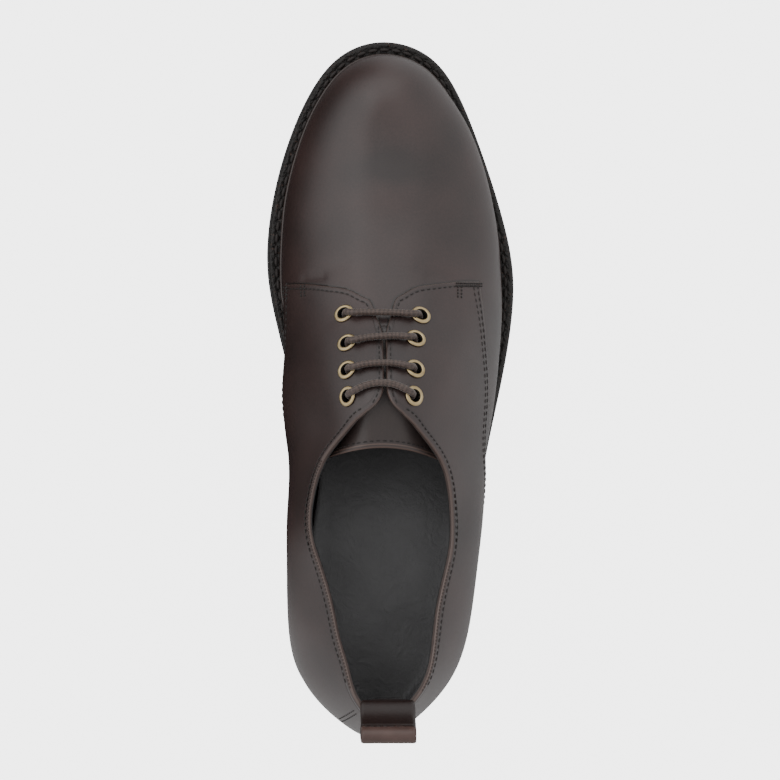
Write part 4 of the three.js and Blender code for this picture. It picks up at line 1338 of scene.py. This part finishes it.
def makeLace():
    path = laceRoute()
    run = np.concatenate([[0], np.cumsum(np.linalg.norm(np.diff(path, axis=0), axis=1))])
    pitch = lace["ply"] / fullTurn

    def weave(k, turns):
        return np.sin(3 * turns + run[k] / pitch) * np.sin(3 * turns - run[k] / pitch)

    rings = tubeRings(path, lambda k, turns: lace["radius"] * (1 + 0.05 * weave(k, turns)), lace["sides"])
    points, faces = sweepRings(rings)
    count = lace["sides"]
    faces += [list(range(count))[::-1], list(range(len(points) - count, len(points)))]
    turns = np.arange(count) / count * fullTurn
    # Painted shade of the braid's ridges and grooves, following the same weave as the cord's radius.
    paintedBraidShade = np.concatenate([0.40 + 0.26 * weave(k, turns) for k in range(len(path))])
    piece = meshPiece("laceCord", points, faces, [waxedBraid], layers={"paintedBraidShade": paintedBraidShade})
    bars = [f"lace_bar_{row + 1}" for row in range(4)]
    print("lace runs", round(run[-1]), "mm")
    return settle(piece, "lace", *bars)


makeLace()
print("lace done")

# Stitches

thread = {
    "upper": {"pitch": 2.5, "long": 1.75, "thick": 0.55},
    "welt": {"pitch": 4.7, "long": 3.9, "thick": 1.7},
    "rim": {"pitch": 1.35, "long": 1.25, "thick": 0.9},
    "tack": {"pitch": 1.15, "long": 1.0, "thick": 0.8},
}


def makeThread(name, colour, roughness):
    material, add, link, shader = startMaterial(name)
    grain = grainNode(add, 0.3, 4)
    shadow = tuple(0.6 * c for c in colour)
    link(blendColour(add, link, grain.outputs["Fine"], shadow, colour), shader.inputs["Base Color"])
    rough = mathNode(add, link, "MULTIPLY_ADD", grain.outputs["Fine"], 0.2, roughness)
    link(rough, shader.inputs["Roughness"])
    bumpInto(add, link, shader, mathNode(add, link, "MULTIPLY", grain.outputs["Height"], 0.05), mm)
    return material


darkThread = makeThread("darkThread", (0.014, 0.010, 0.009), 0.5)
rimThread = makeThread("rimThread", (0.042, 0.026, 0.022), 0.5)
rustThread = makeThread("rustThread", (0.016, 0.0105, 0.009), 0.6)


def buildStitchTree():
    tree = bpy.data.node_groups.new("stitchRun", "GeometryNodeTree")
    tree.interface.new_socket("Geometry", in_out="INPUT", socket_type="NodeSocketGeometry")
    for label, value in (("Pitch", 0.0025), ("Long", 0.0018), ("Thick", 0.0005)):
        tree.interface.new_socket(label, in_out="INPUT", socket_type="NodeSocketFloat").default_value = value
    tree.interface.new_socket("Thread", in_out="INPUT", socket_type="NodeSocketMaterial")
    tree.interface.new_socket("Geometry", in_out="OUTPUT", socket_type="NodeSocketGeometry")
    add, link = nodeTree(tree)
    inputs, outputs = add("NodeGroupInput"), add("NodeGroupOutput")
    curve = add("GeometryNodeMeshToCurve")
    link(inputs.outputs["Geometry"], curve.inputs["Mesh"])
    spots = add("GeometryNodeCurveToPoints", _mode="LENGTH")
    link(curve.outputs["Curve"], spots.inputs["Curve"])
    link(inputs.outputs["Pitch"], spots.inputs["Length"])
    bead = add("GeometryNodeMeshUVSphere", Segments=8, Rings=6, Radius=0.5)
    size = add("ShaderNodeCombineXYZ")
    link(inputs.outputs["Thick"], size.inputs["X"])
    link(inputs.outputs["Thick"], size.inputs["Y"])
    link(inputs.outputs["Long"], size.inputs["Z"])
    shaped = add("GeometryNodeTransform")
    link(bead.outputs["Mesh"], shaped.inputs["Geometry"])
    link(size.outputs["Vector"], shaped.inputs["Scale"])
    placed = add("GeometryNodeInstanceOnPoints")
    link(spots.outputs["Points"], placed.inputs["Points"])
    link(shaped.outputs["Geometry"], placed.inputs["Instance"])
    link(spots.outputs["Rotation"], placed.inputs["Rotation"])
    real = add("GeometryNodeRealizeInstances")
    link(placed.outputs["Instances"], real.inputs["Geometry"])
    finish = add("GeometryNodeSetMaterial")
    link(real.outputs["Geometry"], finish.inputs["Geometry"])
    link(inputs.outputs["Thread"], finish.inputs["Material"])
    link(finish.outputs["Geometry"], outputs.inputs["Geometry"])
    return tree


stitchTree = buildStitchTree()


def stitchPiece(name, lines, gauge, material, slotName):
    points = np.vstack(lines)
    edges, start = [], 0
    for line in lines:
        edges += [(start + k, start + k + 1) for k in range(len(line) - 1)]
        start += len(line)
    path = bpy.data.meshes.new(name + "Path")
    path.from_pydata(inMetres(points).tolist(), edges, [])
    carrier = bpy.data.objects.new(name + "Path", path)
    bpy.context.scene.collection.objects.link(carrier)
    modifier = carrier.modifiers.new("stitches", "NODES")
    modifier.node_group = stitchTree
    values = {name.capitalize(): size * mm for name, size in gauge.items()}
    values["Thread"] = material
    for socket in stitchTree.interface.items_tree:
        if socket.in_out == "INPUT" and socket.name in values:
            modifier[socket.identifier] = values[socket.name]
    evaluated = carrier.evaluated_get(bpy.context.evaluated_depsgraph_get())
    mesh = bpy.data.meshes.new_from_object(evaluated)
    mesh.name = name
    mesh.transform(carrier.matrix_world)
    bpy.data.objects.remove(carrier)
    piece = bpy.data.objects.new(name, mesh)
    bpy.context.scene.collection.objects.link(piece)
    mesh.polygons.foreach_set("use_smooth", np.ones(len(mesh.polygons), bool))
    return settle(piece, slotName)


def climbWhere(angles, gap):
    low = np.full(len(angles), 0.01)
    high = np.full(len(angles), 0.985)
    for turn in range(28):
        middle = (low + high) / 2
        above = gap(facePoint(angles, middle))
        low = np.where(above, low, middle)
        high = np.where(above, middle, high)
    return (low + high) / 2


def onQuarter(angle, climb, proud=0.0):
    return lifted(angle, climb, last["quarterStep"] + proud + creaseOffset(facePoint(angle, climb)))


def frontSeam(side, inset, reachFrom, reachTo):
    reach = np.linspace(reachFrom, reachTo, 90)
    edge = (frontOuter if side > 0 else frontInner)(reach)
    x = ridgeX(edge) + side * reach
    plan = np.column_stack([x, edge])
    travel = unit(np.gradient(plan, axis=0))
    inward = np.column_stack([travel[:, 1], -travel[:, 0]])
    inward *= np.sign(-inward[:, 1])[:, None]
    plan = plan + inward * inset
    angle, climb = overPlan(plan[:, 0], plan[:, 1])
    return onQuarter(angle, climb)


def sideSeam(side, inset, fromY, toY):
    y = np.linspace(fromY, toY, 120)
    angles = side * angleOf(y / soleLength)
    climb = climbWhere(angles, lambda place: place[:, 2] > sideEdgeHeight(place) + inset)
    return onQuarter(angles, climb)


def collarSeam(side, inset, fromAngle, toAngle):
    angles = np.linspace(fromAngle, toAngle, 160) * side
    climb = climbWhere(angles, lambda place: openGap(place) < inset)
    return lifted(angles, climb, np.full(len(angles), last["quarterStep"] + 0.02))


def slotSeam(side, inset, fromY, toY):
    y = np.linspace(fromY, toY, 60)
    angle, climb = overPlan(ridgeX(y) + side * (slotHalf(y) + inset), y)
    return lifted(angle, climb, np.full(len(angle), last["quarterStep"] + 0.02))


# Rows of stitches: how far in from the edge, and from where to where
seams = {
    "front": {"inset": 1.9, "reachFrom": 3.0, "reachTo": 36.0},
    "collar": {"inset": 2.1, "fromAngle": 0.55, "toAngle": 1.50},
    "slot": {"inset": 1.7, "fromY": 133.0, "toY": 161.0},
    "outerSide": {"inset": 1.6, "fromY": 178.5, "toY": 84.0},
    "outerSideTwin": {"inset": 3.9, "fromY": 178.0, "toY": 84.0},
    "innerSide": {"inset": 1.6, "fromY": 178.0, "toY": 100.0},
    "rimDrop": 0.35,
    "welt": {"inset": 3.0, "rise": 3.15},
}
upperSeams = []
for side in (-1, 1):
    upperSeams.append(frontSeam(side, **seams["front"]))
    upperSeams.append(collarSeam(side, **seams["collar"]))
    upperSeams.append(slotSeam(side, **seams["slot"]))
upperSeams.append(sideSeam(1, **seams["outerSide"]))
upperSeams.append(sideSeam(1, **seams["outerSideTwin"]))
upperSeams.append(sideSeam(-1, **seams["innerSide"]))
stitchPiece("quarterStitches", upperSeams, thread["upper"], darkThread, "upper_leather")


rimSeams = []
for side, fromAngle, toAngle in ((-1, 0.50, 1.36), (1, 0.50, 1.05)):
    angles = np.linspace(fromAngle, toAngle, 200) * side
    climb = climbWhere(angles, lambda place: openGap(place) < 0.45)
    rimSeams.append(lifted(angles, climb, np.full(200, last["quarterStep"] - seams["rimDrop"])))
stitchPiece("rimStitches", rimSeams, thread["rim"], rimThread, "upper_leather")


def tongueSeam(inset):
    side = np.linspace(-0.93, 0.93, 90)
    share = 1 - inset / (tongue["tuck"] - tongue["top"])
    return tonguePoint(np.full(90, share), side, np.full(90, -0.03))


stitchPiece("loopStitches", [loopSeam], thread["upper"], darkThread, "upper_leather")
stitchPiece("tongueStitches", [tongueSeam(2.7)], thread["upper"], darkThread, "upper_leather")


def planSeam(start, end):
    share = np.linspace(0, 1, 12)[:, None]
    plan = np.array(start) + (np.array(end) - np.array(start)) * share
    angle, climb = overPlan(plan[:, 0], plan[:, 1])
    return onQuarter(angle, climb, 0.05)


# Bartacks at the two front corners of the quarters: start and end of each line in plan
tacks = [
    ((27.4, 179.6), (37.6, 179.9)), ((27.4, 178.6), (37.6, 178.9)), ((27.9, 174.4), (27.9, 178.2)),
    ((29.4, 174.2), (29.4, 178.2)), ((-38.9, 174.6), (-38.9, 178.9)), ((-37.6, 174.6), (-37.6, 178.9)),
    ((-32.3, 175.2), (-32.3, 178.9)), ((-31.0, 175.2), (-31.0, 178.9)),
]
backSeams = [planSeam((-11.6, 13.2), (-16.4, 8.6)), planSeam((-12.6, 14.4), (-17.4, 9.8))]
stitchPiece("backStitches", backSeams, thread["upper"], darkThread, "upper_leather")
stitchPiece("bartacks", [planSeam(*tack) for tack in tacks], thread["tack"], darkThread, "upper_leather")

weltAngles = np.linspace(-np.pi, np.pi, 1200)
weltEdge = insetEdge(weltAngles, np.full(len(weltAngles), sole["weltSetback"] + seams["welt"]["inset"]))
weltLine = np.column_stack([weltEdge, weltBase(weltEdge[:, 1]) + seams["welt"]["rise"]])
stitchPiece("weltStitches", [weltLine], thread["welt"], rustThread, "welt")
print("stitches done")

# Floor, light and camera

studio = {
    "floor": 1.6,
    "cameraPlace": (-0.0537, -0.0162, 1.5),
    "aim": (0.0, -0.001, 0.0),
    "frameWidth": 0.318,
    "floorWhite": 4.2,
    "dimMiddle": 0.105,  # a strip of floor beside the medial flank, dim for every ray but the camera's
    "dimHalf": (0.055, 0.12),
    "dimBack": (-0.06, -0.11),
    "world": 0.88,
    "softboxes": {
        "toeSoftbox": {"place": (0.0, 2.0, 1.4), "size": (3.0, 2.2), "power": 16},
        "leftSoftbox": {"place": (-1.7, 0.5, 1.6), "size": (3.4, 3.2), "power": 27},
        "rightSoftbox": {"place": (1.9, 0.2, 1.4), "size": (3.2, 3.2), "power": 6},
    },
}


def makeFloor():
    half = studio["floor"] / 2
    mesh = bpy.data.meshes.new("floor")
    corners = [(-half, -half, 0), (half, -half, 0), (half, half, 0), (-half, half, 0)]
    mesh.from_pydata(corners, [], [(0, 1, 2, 3)])
    floor = bpy.data.objects.new("floor", mesh)
    bpy.context.scene.collection.objects.link(floor)
    # White where the camera sees it; in the light that it throws back, dim on the medial side
    material, add, link, shader = startMaterial("paleFloor", Roughness=0.95)
    shader.inputs["Specular IOR Level"].default_value = 0.1
    place = add("ShaderNodeSeparateXYZ")
    link(add("ShaderNodeTexCoord").outputs["Object"], place.inputs[0])
    apart = mathNode(add, link, "ADD", place.outputs["X"], studio["dimMiddle"])
    apart = mathNode(add, link, "ABSOLUTE", apart)
    across = add("ShaderNodeMapRange", From__Min=studio["dimHalf"][0], From__Max=studio["dimHalf"][1])
    link(apart, across.inputs["Value"])
    behind = add("ShaderNodeMapRange", From__Min=studio["dimBack"][0], From__Max=studio["dimBack"][1])
    link(place.outputs["Y"], behind.inputs["Value"])
    clear = mathNode(add, link, "MAXIMUM", across.outputs["Result"], behind.outputs["Result"])
    shade = blendColour(add, link, clear, (0.010, 0.010, 0.010), (0.7, 0.7, 0.7))
    seen = add("ShaderNodeLightPath").outputs["Is Camera Ray"]
    link(blendColour(add, link, seen, shade, (0.16, 0.16, 0.16)), shader.inputs["Base Color"])
    shader.inputs["Emission Color"].default_value = (1, 1, 1, 1)
    link(mathNode(add, link, "MULTIPLY", seen, studio["floorWhite"]), shader.inputs["Emission Strength"])
    mesh.materials.append(material)


def areaLight(name, place, size, power):
    data = bpy.data.lights.new(name, "AREA")
    data.shape = "RECTANGLE"
    data.size, data.size_y = size
    data.energy = power
    light = bpy.data.objects.new(name, data)
    light.location = place
    light.rotation_euler = (-Vector(place)).to_track_quat("-Z", "Y").to_euler()
    bpy.context.scene.collection.objects.link(light)
    return light


def makeCamera():
    data = bpy.data.cameras.new("camera")
    camera = bpy.data.objects.new("camera", data)
    camera.location = studio["cameraPlace"]
    direction = Vector(studio["aim"]) - Vector(studio["cameraPlace"])
    right = direction.cross(Vector((0, 1, 0))).normalized()
    upward = right.cross(direction).normalized()
    camera.rotation_euler = Matrix((right, upward, -direction.normalized())).transposed().to_euler()
    data.sensor_fit = "HORIZONTAL"
    data.angle = 2 * np.arctan(studio["frameWidth"] / 2 / direction.length)
    bpy.context.scene.collection.objects.link(camera)
    bpy.context.scene.camera = camera


makeFloor()
for name, softbox in studio["softboxes"].items():
    areaLight(name, **softbox)
world = bpy.data.worlds.new("studio")
bpy.context.scene.world = world
world.use_nodes = True
world.node_tree.nodes["Background"].inputs[0].default_value = (1, 1, 1, 1)
world.node_tree.nodes["Background"].inputs[1].default_value = studio["world"]
makeCamera()

print("scene ready")
